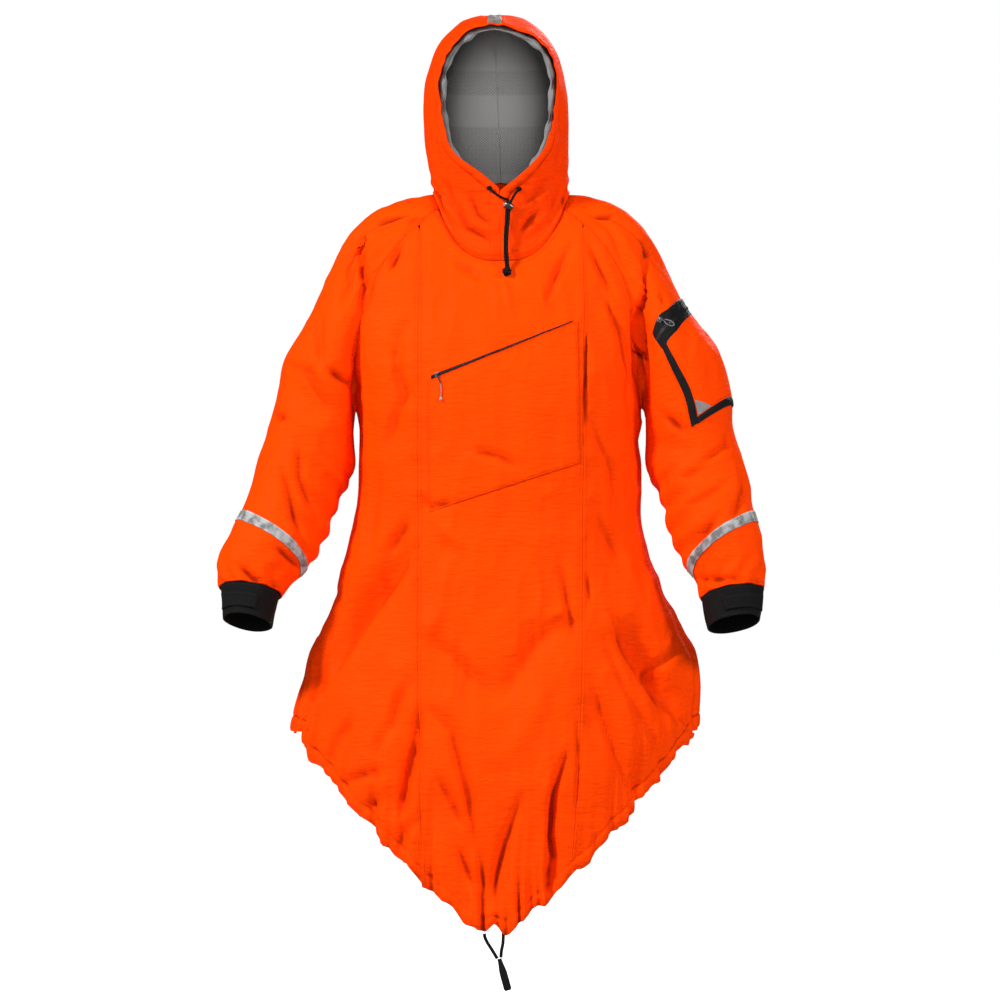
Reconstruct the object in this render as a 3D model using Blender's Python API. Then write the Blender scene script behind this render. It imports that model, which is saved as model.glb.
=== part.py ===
"""A hooded paddling cagoule, filled out as if worn, with every piece of cloth as a thin wall.

Lengths are in millimetres until a mesh is made, which turns them into metres. +X is the
wearer's left, -Y is the front and +Z is up. The origin lies between the shoulders, level with
the base of the neck, where the wearer carries the garment.
"""
import math

import bmesh
import bpy
import numpy as np
from mathutils import Matrix, Vector

METRE = 0.001

# Cloth and seams
CLOTH = 2.0
THIN_CLOTH = 1.4
SEAM_GAP = 0.34
LAY_GAP = 0.5
HEM_TUNNEL_THICKNESS = 6.0
HOOD_TUNNEL_WIDTH = 20.0
HOOD_TUNNEL_THICKNESS = 4.6
CUFF_THICKNESS = 2.6
PATCH_LIFT = 0.3
LINING_CROWN_DROP = 3.0

# The body, one row for each level from the neck seam to the hem. Each level has its height at
# the front middle, at the sides and at the back middle, and its plan is half as wide and as deep
# as given. A higher dip power keeps the fall towards the front middle nearer to that middle.
# Columns: front_z, side_z, back_z, half_width, front_depth, back_depth, centre_x, dip_power,
# squareness.
BODY_ROWS = (
    (-94, 13, 8, 107, 84, 74, 2, 3.0, 2.00),
    (-138, 2, -22, 174, 106, 98, 1, 4.0, 2.05),
    (-192, -46, -76, 212, 124, 114, 0, 4.2, 2.10),
    (-244, -122, -148, 232, 134, 122, 0, 4.0, 2.15),
    (-298, -216, -232, 234, 139, 126, 0, 3.0, 2.20),
    (-352, -322, -326, 222, 140, 124, 0, 2.2, 2.20),
    (-424, -392, -400, 219, 138, 121, 0, 2.0, 2.20),
    (-502, -462, -468, 219, 138, 120, 0, 2.0, 2.20),
    (-586, -530, -536, 229, 142, 123, -3, 1.8, 2.20),
    (-676, -594, -600, 252, 150, 130, 0, 1.7, 2.20),
    (-774, -654, -662, 277, 160, 140, 1, 1.6, 2.15),
    (-876, -706, -718, 303, 170, 150, 0, 1.5, 2.10),
    (-976, -752, -768, 311, 176, 156, -2, 1.4, 2.05),
    (-1062, -792, -812, 315, 176, 158, -8, 1.32, 2.00),
    (-1140, -823, -848, 315, 170, 156, -9, 1.26, 2.00),
)
UNDERARM_ROW = 5.0
HEM_ROW = len(BODY_ROWS) - 1.0

# The seams on the body, one row for each level as above: the angle of the raglan seam from the
# front middle and from the back middle, and the sideways place of both front princess seams.
SEAM_ROWS = (
    (66, 66, -124, 127),
    (60, 61, -125, 129),
    (61, 62, -127, 131),
    (63, 64, -127, 130),
    (70, 71, -127, 129),
    (90, 90, -127, 128),
    (90, 90, -127, 128),
    (90, 90, -127, 128),
    (90, 90, -127, 128),
    (90, 90, -127, 127),
    (90, 90, -127, 126),
    (90, 90, -126, 124),
    (90, 90, -124, 120),
    (90, 90, -121, 114),
    (90, 90, -118, 108),
)

# The sleeves, one row for each ring below the shoulder: the outer and the inner edge as seen
# from the front, the ring's middle in depth, half its depth and how far its front edge is raised.
# Columns: outer_x, outer_z, inner_x, inner_z, middle_y, half_depth, tilt.
RIGHT_SLEEVE_ROWS = (
    (-300, -188, -229, -340, 0, 86, 0),
    (-340, -256, -228, -382, -3, 81, 2),
    (-349, -310, -229, -410, -8, 76, 5),
    (-362, -362, -239, -436, -16, 71, 9),
    (-382, -425, -257, -475, -28, 67, 13),
    (-399, -478, -273, -520, -42, 63, 16),
    (-421, -522, -291, -558, -55, 60, 18),
    (-438, -562, -318, -586, -67, 53, 19),
    (-434, -600, -341, -613, -78, 45, 20),
    (-430, -627, -350, -640, -86, 42, 20),
    (-430, -648, -353, -661, -92, 41, 20),
)
LEFT_SLEEVE_ROWS = (
    (303, -186, 229, -340, 0, 86, 0),
    (341, -238, 228, -378, -3, 81, 2),
    (359, -300, 229, -410, -8, 76, 5),
    (365, -358, 241, -440, -16, 71, 9),
    (384, -425, 255, -480, -28, 67, 13),
    (396, -478, 267, -522, -42, 63, 16),
    (406, -525, 286, -560, -55, 59, 18),
    (411, -565, 306, -590, -67, 51, 19),
    (409, -604, 313, -618, -78, 46, 20),
    (406, -630, 318, -644, -86, 43, 20),
    (404, -650, 321, -664, -92, 42, 20),
)
CUFF_ROW = 8.0
SLEEVE_END_ROW = len(LEFT_SLEEVE_ROWS) - 1.0

# The largest folds in the cloth, each a soft trough from one end to the other as seen from the
# front or from the back. Depth is how far the cloth sinks in.
# Columns: start_x, start_z, end_x, end_z, width, depth.
FRONT_FOLDS = (
    (-158, -560, -300, -740, 26, 14),
    (190, -665, 272, -795, 28, 15),
    (-118, -700, -12, -770, 30, 7),
    (85, -655, -4, -770, 30, 7),
    (-130, -800, -158, -955, 24, 8),
    (-100, -900, -28, -1085, 24, 8),
    (34, -925, -6, -1085, 24, 7),
    (84, -925, 78, -1060, 22, 9),
    (130, -780, 215, -925, 28, 9),
    (-238, -64, -228, -165, 20, 8),
    (230, -70, 215, -300, 26, 8),
    (-345, -262, -275, -335, 20, 9),
    (215, -372, 300, -392, 20, 7),
)
BACK_FOLDS = (
    (160, -540, 285, -730, 28, 12),
    (-175, -560, -290, -745, 28, 12),
    (60, -600, 110, -800, 28, 8),
    (-50, -620, -95, -810, 28, 8),
    (0, -560, 6, -700, 30, 6),
    (-335, -300, -270, -350, 22, 8),
    (345, -300, 280, -350, 22, 8),
)

# The hem
GATHER_COUNT = 40
GATHER_DEPTH = 3.2
GATHER_ROWS = 0.72
NOTCH_X = -9.0
NOTCH_WIDTH = 30.0
NOTCH_HEIGHT = 17.0

# The hood: an egg-like head form, the edge of the face opening and the middle line at the back.
# Face columns: right_x, left_x, y, z. Nape and crown columns: y, z.
MIDDLE_AT_NECK = 2.0
MIDDLE_AT_CROWN = -8.0
HOOD_MIDDLE = (-8.0, 12.0, 138.0)
HOOD_HALF_WIDTH = 107.0
HOOD_FRONT_DEPTH = 96.0
HOOD_BACK_DEPTH = 122.0
HOOD_RISE = 153.0
HOOD_DROP = 162.0
HOOD_ROUNDNESS = 2.3
FACE_ROWS = (
    (2, 2, -80, 17),
    (-29, 34, -79, 43),
    (-71, 65, -77, 76),
    (-86, 80, -76, 118),
    (-93, 87, -77, 160),
    (-93, 88, -79, 200),
    (-74, 70, -83, 240),
    (-42, 25, -90, 265),
    (-8, -8, -94, 272),
)
FACE_START = 0.36
NAPE_ROWS = (
    (74, 8),
    (96, 60),
    (124, 110),
    (133, 165),
    (118, 222),
    (84, 264),
)
CROWN_ROWS = (
    (-94, 272),
    (-68, 283),
    (-38, 289),
    (-6, 291),
    (28, 289),
    (58, 280),
    (84, 264),
)
LINING_DROP = 1.5

# The reflective tapes. The forearm bands lie on the sleeve's own points.
THIN_TAPE = 0.9
BAND_LIFT = 0.8
BAND_ROW = 5.3
BAND_FALL = 1.35
BAND_ROWS = 0.36
HOOD_TAPE_SHARES = (0.06, 0.5)
HOOD_TAPE_ROWS = 0.055
HOOD_TAPE_LIFT = 0.9

# The chest pocket and its zip, by the places of their corners as seen from the front
CHEST_ZIP_CORNERS = ((-107, -272.5), (111, -185.5), (-105, -278.5), (113.5, -191.5))
CHEST_POCKET_CORNERS = ((-112, -282.5), (121, -189.3), (-110, -484), (123, -408))
CHEST_SLIDER_X = -97.0
POCKET_THICKNESS = 1.4
ZIP_THICKNESS = 1.8

# The sleeve pocket on the wearer's left upper arm, by turn round the sleeve and ring number
SLEEVE_ZIP_CORNERS = ((0.49, -0.42), (-0.12, -0.125), (0.49, -0.345), (-0.12, -0.065))
SLEEVE_POCKET_CORNERS = ((0.452, -0.32), (-0.082, -0.06), (0.442, 1.97), (-0.082, 2.13))
SLEEVE_POCKET_BINDINGS = (
    ("front", ((0.49, -0.335), (0.456, -0.323), (0.482, 2.14), (0.446, 2.15)), (2, 12)),
    ("bottom", ((0.443, 1.99), (-0.082, 2.15), (0.443, 2.15), (-0.082, 2.32)), (12, 2)),
    ("back", ((-0.086, -0.07), (-0.12, -0.055), (-0.086, 2.32), (-0.12, 2.32)), (2, 12)),
)
SLEEVE_TRIANGLE_CORNERS = ((0.437, 1.42), (0.432, 1.42), (0.432, 1.93), (0.335, 1.955))
SLEEVE_SLIDER_SPOT = (0.405, -0.335)

# Zip sliders and pulls
SLIDER_LIFT = 2.7
SLIDER_SIZE = (9.0, 7.0, 1.6)
BRIDGE_HOLE = 1.5
BRIDGE_RADIUS = 2.2
BRIDGE_DEPTH = 1.2
PULL_HOLE = 1.2
PULL_RADIUS = 1.95
PULL_DEPTH = 1.8
PULL_TAIL = 1.4
CHEST_PULL_LENGTH = 15.0
SLEEVE_PULL_LENGTH = 7.0
PULL_CORD_RADIUS = 0.9
PULL_TILT = math.radians(8)
SLEEVE_SLIDER_LIFT = 0.6
PULL_LOOP = ((-0.5, 0, 0), (-3.6, -6, -0.6), (-3.4, -13, -1.6), (0.2, -17, -2.2),
             (3.8, -13, -1.6), (3.6, -6, -0.6), (2.4, 0, 0))
CHEST_CORD_DROPS = ((0, 0, 0), (0.9, 0, 6), (1.0, 0.2, 13), (0.6, 0.4, 20))
KNOB_PROFILE = ((1.2, -3), (2.4, -2), (2.6, 0.4), (1.4, 3))

# The neck drawcord. Each route goes by the eyelet it comes out of, if any, and by its points.
EYELET_SHARES = ((-1, 0.045, 0.38), (1, 0.078, 0.38))
CORD_RADIUS = 1.5
NECK_CORDS = (
    ("neck_cord_right_upper", -1, ((-11, -87.5, 13.6), (-2, -89, 7), (7, -89.6, 2.6), (12.5, -89.8, -0.3))),
    ("neck_cord_left_upper", 1, ((24, -87.6, 11), (19.4, -88.6, 3), (16.4, -89, -3.5))),
    ("neck_cord_right_lower", 0, ((10.3, -89.1, -15.2), (9.6, -90.2, -30), (7.9, -92.6, -52),
                                  (7.6, -96.5, -80), (9.6, -99.5, -104.2))),
    ("neck_cord_left_lower", 0, ((14.0, -88.2, -16.5), (13.4, -90, -30), (11.4, -93, -52),
                                 (11.0, -97, -80), (13.2, -99.7, -104.2))),
)
LOCK_CENTRE = (13.5, -89.0, -9.0)
LOCK_AXIS = (-0.86, -0.25, 0.45)
LOCK_PROFILE = ((3.6, -6.5), (5.6, -5.2), (6.0, 0), (5.6, 4.8), (4.6, 5.6))
BUTTON_PROFILE = ((3.3, 6.0), (3.3, 8.2), (2.2, 8.8))
KNOT_CENTRE = (12.0, -99.8, -108.3)
EYELET_LIFT = 1.9
EYELET_HOLE = 1.9
EYELET_RADIUS = 4.0
EYELET_DEPTH = 1.2
KNOT_PROFILE = ((2.0, -4.6), (4.2, -2.6), (4.6, 1.2), (3.0, 3.6))
CORD_STARTS = (1.1, 6.0)

# The hem cord and its pull tab
HEM_CORD_RADIUS = 2.1
HEM_CORDS = (
    ("hem_cord_right", ((-23.9, -164.7, -1133.3), (-23.3, -165, -1139), (-19, -166, -1148),
                        (-12.5, -167, -1158), (-4.1, -167.4, -1171.8))),
    ("hem_cord_left", ((5.0, -165.1, -1132.6), (5.0, -165.4, -1139), (4.4, -166, -1149),
                       (2.2, -167, -1160), (1.4, -167.4, -1170.3))),
)
HEM_TAB_TOP = (-1.0, -167.4, -1172.0)
HEM_TAB_FOOT = (12.6, -167.4, -1221.0)
HEM_TAB_WIDTH = 11.0
HEM_TAB_THICKNESS = 3.4

# Grids: cells across and along each piece
FRONT_CELLS = 14
SIDE_CELLS = 6
BACK_CELLS = 18
HOOD_LEVELS = np.linspace(0, 1, 13)


def spline(rows, place):
    """The smooth value of every column of a table at fractional row numbers."""
    table = np.array(rows, float)
    slope = np.gradient(table, axis=0)
    at = np.clip(np.asarray(place, float), 0, len(table) - 1)
    low = np.minimum(np.floor(at).astype(int), len(table) - 2)
    part = (at - low)[..., None]
    rise = table[low + 1] - table[low]
    bend = slope[low] + slope[low + 1] - 2 * rise
    value = table[low] + part * slope[low] + part ** 2 * (3 * rise - 2 * slope[low] - slope[low + 1])
    return value + part ** 3 * bend


def unit(vector):
    return vector / np.maximum(np.linalg.norm(vector, axis=-1, keepdims=True), 1e-9)


def ease(value):
    """A soft step from 0 to 1."""
    value = np.clip(value, 0, 1)
    return value * value * (3 - 2 * value)


def fold_depth(point):
    """How far the folds pull the cloth in at points on the smooth garment."""
    depth = np.zeros(point.shape[:-1])
    for rows, facing in ((FRONT_FOLDS, -1), (BACK_FOLDS, 1)):
        shown = ease(0.5 + facing * point[..., 1] / 60)
        for start_x, start_z, end_x, end_z, width, deep in rows:
            along = np.array((end_x - start_x, end_z - start_z), float)
            length = np.linalg.norm(along)
            from_start = np.stack((point[..., 0] - start_x, point[..., 2] - start_z), -1)
            run = from_start @ along / length ** 2
            aside = (from_start[..., 0] * along[1] - from_start[..., 1] * along[0]) / length
            fade = ease((run + 0.15) / 0.35) * ease((1.15 - run) / 0.35)
            depth += shown * deep * fade * np.exp(-(aside / width) ** 2)
    return depth


def body_base(angle, row):
    """The smooth body: the angle runs from the front middle towards the wearer's left."""
    front_z, side_z, back_z, half_width, front_depth, back_depth, centre_x, dip, square = \
        np.moveaxis(spline(BODY_ROWS, row), -1, 0)
    sine, cosine = np.sin(angle), np.cos(angle)
    across = np.sign(sine) * np.abs(sine) ** (2 / square)
    deep = np.abs(cosine) ** (2 / square)
    in_front = cosine > 0
    middle_z = np.where(in_front, front_z, back_z)
    y = np.where(in_front, -front_depth, back_depth) * deep
    z = middle_z + (side_z - middle_z) * np.abs(across) ** dip
    return np.stack((centre_x + half_width * across, y, z), -1)


def body_normal(angle, row):
    """The outward direction of the smooth body."""
    step = 0.004
    upper = np.clip(row - step, 0, HEM_ROW)
    lower = np.clip(row + step, 0, HEM_ROW)
    down = body_base(angle, lower) - body_base(angle, upper)
    around = body_base(angle + step, row) - body_base(angle - step, row)
    return unit(np.cross(down, around))


HEM_ANGLES = np.linspace(-math.pi, math.pi, 721)
HEM_STEPS = np.linalg.norm(np.diff(body_base(HEM_ANGLES, np.full(721, HEM_ROW)), axis=0), axis=1)
HEM_LENGTHS = np.concatenate(((0.0,), np.cumsum(HEM_STEPS)))


def hem_length(angle):
    """The length of hem from the back middle round to an angle."""
    wrapped = (np.asarray(angle) + math.pi) % (2 * math.pi) - math.pi
    return np.interp(wrapped, HEM_ANGLES, HEM_LENGTHS)


def body_point(angle, row):
    """The body with its folds and the gathers along its hem, and its outward direction."""
    angle, row = np.broadcast_arrays(np.asarray(angle, float), np.asarray(row, float))
    base = body_base(angle, row)
    normal = body_normal(angle, row)
    drop = np.linalg.norm(base - body_base(angle, np.full_like(row, HEM_ROW)), axis=-1)
    gather = GATHER_DEPTH * (1 - ease((HEM_ROW - row) / GATHER_ROWS))
    wave = np.cos(2 * math.pi * GATHER_COUNT * hem_length(angle) / HEM_LENGTHS[-1])
    point = base + normal * (gather * wave - fold_depth(base))[..., None]
    notch = np.clip(1 - np.abs(base[..., 0] - NOTCH_X) / (NOTCH_WIDTH / 2), 0, 1)
    lift = NOTCH_HEIGHT * notch * (1 - ease(drop / 50)) * (np.cos(angle) > 0)
    point[..., 2] += lift
    return point, normal


def raglan_angle(row, behind):
    """The angle from the front middle of a raglan seam, or of the side seam below it."""
    degrees = spline(SEAM_ROWS, row)[..., 1 if behind else 0]
    angle = np.radians(np.clip(degrees, 0, 90))
    return math.pi - angle if behind else angle


def princess_angle(row, side):
    """The angle of a front princess seam; side is -1 for the wearer's right, 1 for the left."""
    place = spline(SEAM_ROWS, row)[..., 2 if side < 0 else 3]
    level = spline(BODY_ROWS, row)
    share = np.clip(np.abs(place - level[..., 6]) / level[..., 3], 0, 1)
    return side * np.arcsin(share ** (level[..., 8] / 2))


def add_rows(mesh, rows, flip):
    """Join rows of vertices that may differ in number, walking along each pair together."""
    for (upper, upper_at), (lower, lower_at) in zip(rows, rows[1:]):
        high, low = 0, 0
        while high < len(upper) - 1 or low < len(lower) - 1:
            step_high = high < len(upper) - 1 and (
                low == len(lower) - 1 or upper_at[high + 1] <= lower_at[low + 1] + 1e-9)
            if step_high:
                corner = [upper[high], upper[high + 1], lower[low]]
                high += 1
            else:
                corner = [upper[high], lower[low + 1], lower[low]]
                low += 1
            mesh.faces.new(corner[::-1] if flip else corner)


def finish(name, mesh, colour, roughness, smooth_angle=40.0):
    """Turn a mesh in millimetres into an object in metres with its own material."""
    bmesh.ops.recalc_face_normals(mesh, faces=mesh.faces)
    for vertex in mesh.verts:
        vertex.co *= METRE
    data = bpy.data.meshes.new(name)
    mesh.to_mesh(data)
    mesh.free()
    data.shade_smooth()
    data.set_sharp_from_angle(angle=math.radians(smooth_angle))
    piece = bpy.data.objects.new(name, data)
    bpy.context.scene.collection.objects.link(piece)
    piece.data.materials.append(plain_material(name, colour, roughness))
    return piece


def plain_material(name, colour, roughness):
    material = bpy.data.materials.new(name)
    material.use_nodes = True
    shader = material.node_tree.nodes["Principled BSDF"]
    shader.inputs["Base Color"].default_value = (*colour, 1.0)
    shader.inputs["Roughness"].default_value = roughness
    return material


def wall(name, rows, colour, roughness=0.6, closed=False):
    """A cloth wall. Each row holds its outer points, its inner points and their places along it.

    A closed wall is a tube, whose rows run once round without repeating the first point.
    """
    mesh = bmesh.new()
    skins = []
    for side in (0, 1):
        skin = []
        for row in rows:
            vertices = [mesh.verts.new(point) for point in row[side]]
            places = list(row[2])
            if closed:
                vertices.append(vertices[0])
                places.append(places[0] + 2 * math.pi)
            skin.append((vertices, places))
        add_rows(mesh, skin, flip=side == 1)
        skins.append(skin)
    outer, inner = skins
    edges = [(outer[0][0], inner[0][0]), (outer[-1][0], inner[-1][0])]
    if not closed:
        for end in (0, -1):
            edges.append(([row[0][end] for row in outer], [row[0][end] for row in inner]))
    for near, far in edges:
        for index in range(len(near) - 1):
            mesh.faces.new((near[index], near[index + 1], far[index + 1]))
            mesh.faces.new((near[index], far[index + 1], far[index]))
    return finish(name, mesh, colour, roughness)


def body_panel(name, first_angle, last_angle, levels, cells, colour):
    """A panel of the body between two seams, with finer cells where the hem is gathered."""
    rows = []
    for level in levels:
        count = cells
        if level > HEM_ROW - 0.8:
            length = abs(hem_length(last_angle(HEM_ROW)) - hem_length(first_angle(HEM_ROW)))
            if name == "back":
                length = HEM_LENGTHS[-1] - length
            count = 4 * round(length * GATHER_COUNT / HEM_LENGTHS[-1])
        share = np.linspace(0, 1, count + 1)
        angle = first_angle(level) + (last_angle(level) - first_angle(level)) * share
        pinch = 0.5 * SEAM_GAP / np.linalg.norm(body_base(angle[:1], level)[..., :2], axis=-1)
        angle = angle + pinch * (1 - 2 * share)
        point, normal = body_point(angle, level)
        rows.append((point, point - normal * hem_thickness(level), share))
    return wall(name, rows, colour)


def hem_thickness(level):
    """Plain cloth, but for the turned-up hem with the elastic cord inside it."""
    share = ease((level - HEM_ROW + 0.42) / 0.1)
    return CLOTH + (HEM_TUNNEL_THICKNESS - CLOTH) * share


SIDE_START = 0.56
ARMHOLE_LEVELS = np.array((0, 0.5, SIDE_START, 1, 1.6, 2.3, 3, 3.7, 4.4, 5))
BODY_LEVELS = np.concatenate((ARMHOLE_LEVELS, np.arange(5.8, 12.8, 0.8), (13.28, 13.66, 14)))
SLEEVE_LEVELS = (-1, -0.85, -0.65, -0.45, -0.25, -0.1, 0.1, 0.7, 1.3, 2, 2.8, 3.6, 4.4, 5.0, 5.6,
                 6.2, 7, 8)
NECK_SHARE = 0.115
SLEEVE_TAKE_OFF = 0.34


def armhole(side, turn):
    """Points round an armhole. The turn is 0 at the neck side, grows forwards and ends at 1.

    Up to the neck share it runs along the neck seam, and then down the raglan seam.
    """
    turn = np.asarray(turn, float)
    behind = turn < 0
    far = np.abs(turn)
    row = UNDERARM_ROW * np.clip((far - NECK_SHARE) / (1 - NECK_SHARE), 0, 1)
    raglan = np.where(behind, raglan_angle(row, True), raglan_angle(row, False))
    near = np.clip(far / NECK_SHARE, 0, 1)
    angle = side * (math.pi / 2 + (raglan - math.pi / 2) * near)
    return body_point(angle, row)


def sleeve_ring(side, turn, row):
    """A point on the sleeve below the shoulder, at fractional ring numbers."""
    rows = LEFT_SLEEVE_ROWS if side > 0 else RIGHT_SLEEVE_ROWS
    outer_x, outer_z, inner_x, inner_z, middle_y, half_depth, tilt = \
        np.moveaxis(spline(rows, row), -1, 0)
    phase = math.pi * np.asarray(turn, float)
    lean = np.radians(tilt)
    across, deep = np.cos(phase), np.sin(phase)
    x = (outer_x + inner_x) / 2 + across * (outer_x - inner_x) / 2
    y = middle_y - deep * half_depth * np.cos(lean)
    z = (outer_z + inner_z) / 2 + across * (outer_z - inner_z) / 2 + deep * half_depth * np.sin(lean)
    return np.stack((x, y, z), -1)


def sleeve_base(side, turn, row):
    """The smooth sleeve: rows from -1 to 0 cover the shoulder, and 0 is the first ring."""
    turn, row = np.broadcast_arrays(np.asarray(turn, float), np.asarray(row, float))
    below = sleeve_ring(side, turn, np.maximum(row, 0))
    start, normal = armhole(side, turn)
    first = sleeve_ring(side, turn, np.zeros_like(turn))
    chord = first - start
    length = np.linalg.norm(chord, axis=-1, keepdims=True)
    flat = unit(chord - normal * np.sum(chord * normal, -1, keepdims=True))
    seam = armhole(side, np.clip(turn + 0.01, -1, 1))[0] - armhole(side, np.clip(turn - 0.01, -1, 1))[0]
    square_off = side * unit(np.cross(normal, seam))
    outward = unit(np.array((side * 1.0, 0.0, -0.16)) + 0 * chord)
    under = unit(np.array((side * 0.55, 0.0, -0.8)) + 0 * chord)
    far = np.abs(turn)[..., None]
    flat = unit(flat + (square_off - flat) * 0.55 * (1 - ease((far - 0.2) / 0.4)))
    clear = np.maximum(SLEEVE_TAKE_OFF - np.sum(flat * square_off, -1, keepdims=True), 0)
    flat = unit(flat + square_off * clear)
    top = 1 - ease((far - NECK_SHARE * 0.6) / 0.2)
    bottom = ease((far - 0.72) / 0.24)
    leave = unit(flat * (1 - top) * (1 - bottom) + outward * top + under * bottom)
    leave = leave * (1 + 0.75 * top)
    arrive = unit(sleeve_ring(side, turn, np.full_like(turn, 0.1)) - first)
    part = np.clip(row + 1, 0, 1)[..., None]
    cube, square = part ** 3, part ** 2
    above = start * (2 * cube - 3 * square + 1) + first * (3 * square - 2 * cube)
    above = above + (leave * (cube - 2 * square + part) + arrive * (cube - square)) * length
    return np.where(row[..., None] < 0, above, below)


def sleeve_normal(side, turn, row):
    """The outward direction of the smooth sleeve."""
    step = 0.01
    down = sleeve_base(side, turn, np.minimum(row + step, SLEEVE_END_ROW))
    up = sleeve_base(side, turn, np.maximum(row - step, -1))
    around = sleeve_base(side, turn + step, row) - sleeve_base(side, turn - step, row)
    return unit(np.cross(around, down - up)) * side


def sleeve_point(side, turn, row):
    """The sleeve with its folds, and its outward direction."""
    turn, row = np.broadcast_arrays(np.asarray(turn, float), np.asarray(row, float))
    base = sleeve_base(side, turn, row)
    normal = sleeve_normal(side, turn, row)
    inside = ease((np.abs(turn) - 0.75) / 0.15) * (row < 4)
    depth = fold_depth(base) * (1 - inside)
    return base - normal * depth[..., None], normal


def sleeve_turns():
    """One place round the sleeve for each level of the raglan seams, and one at the shoulder."""
    front = NECK_SHARE + (1 - NECK_SHARE) * ARMHOLE_LEVELS / UNDERARM_ROW
    return np.concatenate((-front[-2::-1], (0.0,), front))


def sleeve(name, side, colour):
    """The sleeve from its raglan seams to the cuff."""
    turns = sleeve_turns()
    rows = []
    for row in SLEEVE_LEVELS:
        point, normal = sleeve_point(side, turns, row)
        if row == -1:
            seam, body_out = armhole(side, turns)
            toward = unit(sleeve_base(side, turns, -0.97) - sleeve_base(side, turns, -1))
            same = 1 - ease((np.abs(turns) - 0.68) / 0.12)
            same = (same * (np.abs(turns) > NECK_SHARE - 0.001))[:, None]
            normal = unit(body_out * same + normal * (1 - same))
            point = seam + toward * SEAM_GAP
        rows.append((point, point - normal * CLOTH, turns * math.pi))
    return wall(name, rows, colour, closed=True)


def cuff(name, side, colour):
    """The wrist cuff below the sleeve's end."""
    turns = sleeve_turns()
    rows = []
    for row in (CUFF_ROW + 0.012, 8.7, 9.3, SLEEVE_END_ROW):
        point, normal = sleeve_point(side, turns, np.full_like(turns, row))
        rows.append((point, point - normal * CUFF_THICKNESS, turns * math.pi))
    return wall(name, rows, colour, roughness=0.8, closed=True)


def head_form(direction):
    """The point of the egg-like head form in a direction from its middle."""
    depth = np.where(direction[..., 1] < 0, HOOD_FRONT_DEPTH, HOOD_BACK_DEPTH)
    height = np.where(direction[..., 2] > 0, HOOD_RISE, HOOD_DROP)
    size = np.stack((np.full_like(depth, HOOD_HALF_WIDTH), depth, height), -1)
    reach = np.sum(np.abs(direction / size) ** HOOD_ROUNDNESS, -1) ** (-1 / HOOD_ROUNDNESS)
    return np.array(HOOD_MIDDLE) + direction * reach[..., None]


def hood_front(side, up):
    """The front edge of half a hood: the middle seam up to the chin, then the face opening."""
    low = body_base(np.zeros_like(up), np.zeros_like(up))
    chin = spline(FACE_ROWS, np.zeros_like(up))
    chin = np.stack((chin[..., 0], chin[..., 2], chin[..., 3]), -1)
    share = (up / FACE_START)[..., None]
    face = spline(FACE_ROWS, (up - FACE_START) / (1 - FACE_START) * (len(FACE_ROWS) - 1))
    edge = np.stack((face[..., 1] if side > 0 else face[..., 0], face[..., 2], face[..., 3]), -1)
    return np.where(share < 1, low + (chin - low) * share, edge)


def middle_line(up):
    """How far the hood's middle seam lies to the wearer's left, from the neck to the crown."""
    return MIDDLE_AT_NECK + (MIDDLE_AT_CROWN - MIDDLE_AT_NECK) * up


def hood_back(up):
    """The middle line from the nape to the back of the crown."""
    rows = spline(NAPE_ROWS, up * (len(NAPE_ROWS) - 1))
    return np.stack((middle_line(up), rows[..., 0], rows[..., 1]), -1)


def hood_bottom(side, across):
    """The neck seam, a seam's gap above the edge of the body."""
    ring = body_base(side * math.pi * across, np.zeros_like(across))
    return ring + np.array((0, 0, SEAM_GAP + 0.1))


def hood_top(across):
    """The middle line from the brim over the crown to the back."""
    rows = spline(CROWN_ROWS, across * (len(CROWN_ROWS) - 1))
    return np.stack((np.full_like(across, MIDDLE_AT_CROWN), rows[..., 0], rows[..., 1]), -1)


def coons(front, back, bottom, top, corners, weights):
    """A patch that meets four border curves."""
    near, far, low, high = (weight[..., None] for weight in weights)
    low_front, low_back, high_front, high_back = corners
    point = near * front + far * back
    point = point + low * (bottom - near * low_front - far * low_back)
    return point + high * (top - near * high_front - far * high_back)


def hood_base(side, across, up):
    """Half the smooth hood: across from the front edge to the back middle, up from the neck."""
    across, up = np.broadcast_arrays(np.asarray(across, float), np.asarray(up, float))
    zero, one = np.zeros_like(up), np.ones_like(up)
    borders = [hood_front(side, up), hood_back(up), hood_bottom(side, across), hood_top(across)]
    corners = [hood_front(side, zero), hood_back(zero), hood_front(side, one), hood_back(one)]
    plain = coons(*borders, corners, (1 - across, across, 1 - up, up))
    middle = np.array(HOOD_MIDDLE)
    form = head_form(unit(plain - middle))
    off_borders = [border - head_form(unit(border - middle)) for border in borders]
    off_corners = [corner - head_form(unit(corner - middle)) for corner in corners]
    weights = ((1 - across) ** 3, across ** 3, (1 - up) ** 2.2, up ** 4)
    return form + coons(*off_borders, off_corners, weights)


def hood_point(side, across, up):
    """A point on half the hood and its outward direction."""
    across, up = np.broadcast_arrays(np.asarray(across, float), np.asarray(up, float))
    step = 0.006
    base = hood_base(side, across, up)
    right = hood_base(side, np.minimum(across + step, 1), up)
    left = hood_base(side, np.maximum(across - step, 0), up)
    above = hood_base(side, across, np.minimum(up + step, 1))
    below = hood_base(side, across, np.maximum(up - step, 0))
    normal = unit(np.cross(right - left, above - below)) * side
    corner = (ease((across - 0.8) / 0.2) * ease((up - 0.8) / 0.2))[..., None]
    normal = normal * (1 - corner) + unit(base - np.array(HOOD_MIDDLE)) * corner
    on_middle = (across > 0.999) | (up > 0.999) | ((across < 0.001) & (up <= FACE_START))
    normal = unit(normal * np.where(on_middle[..., None], (0, 1, 1), 1))
    base = base + np.array((side * SEAM_GAP / 2, 0, 0))
    return base, normal


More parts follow.
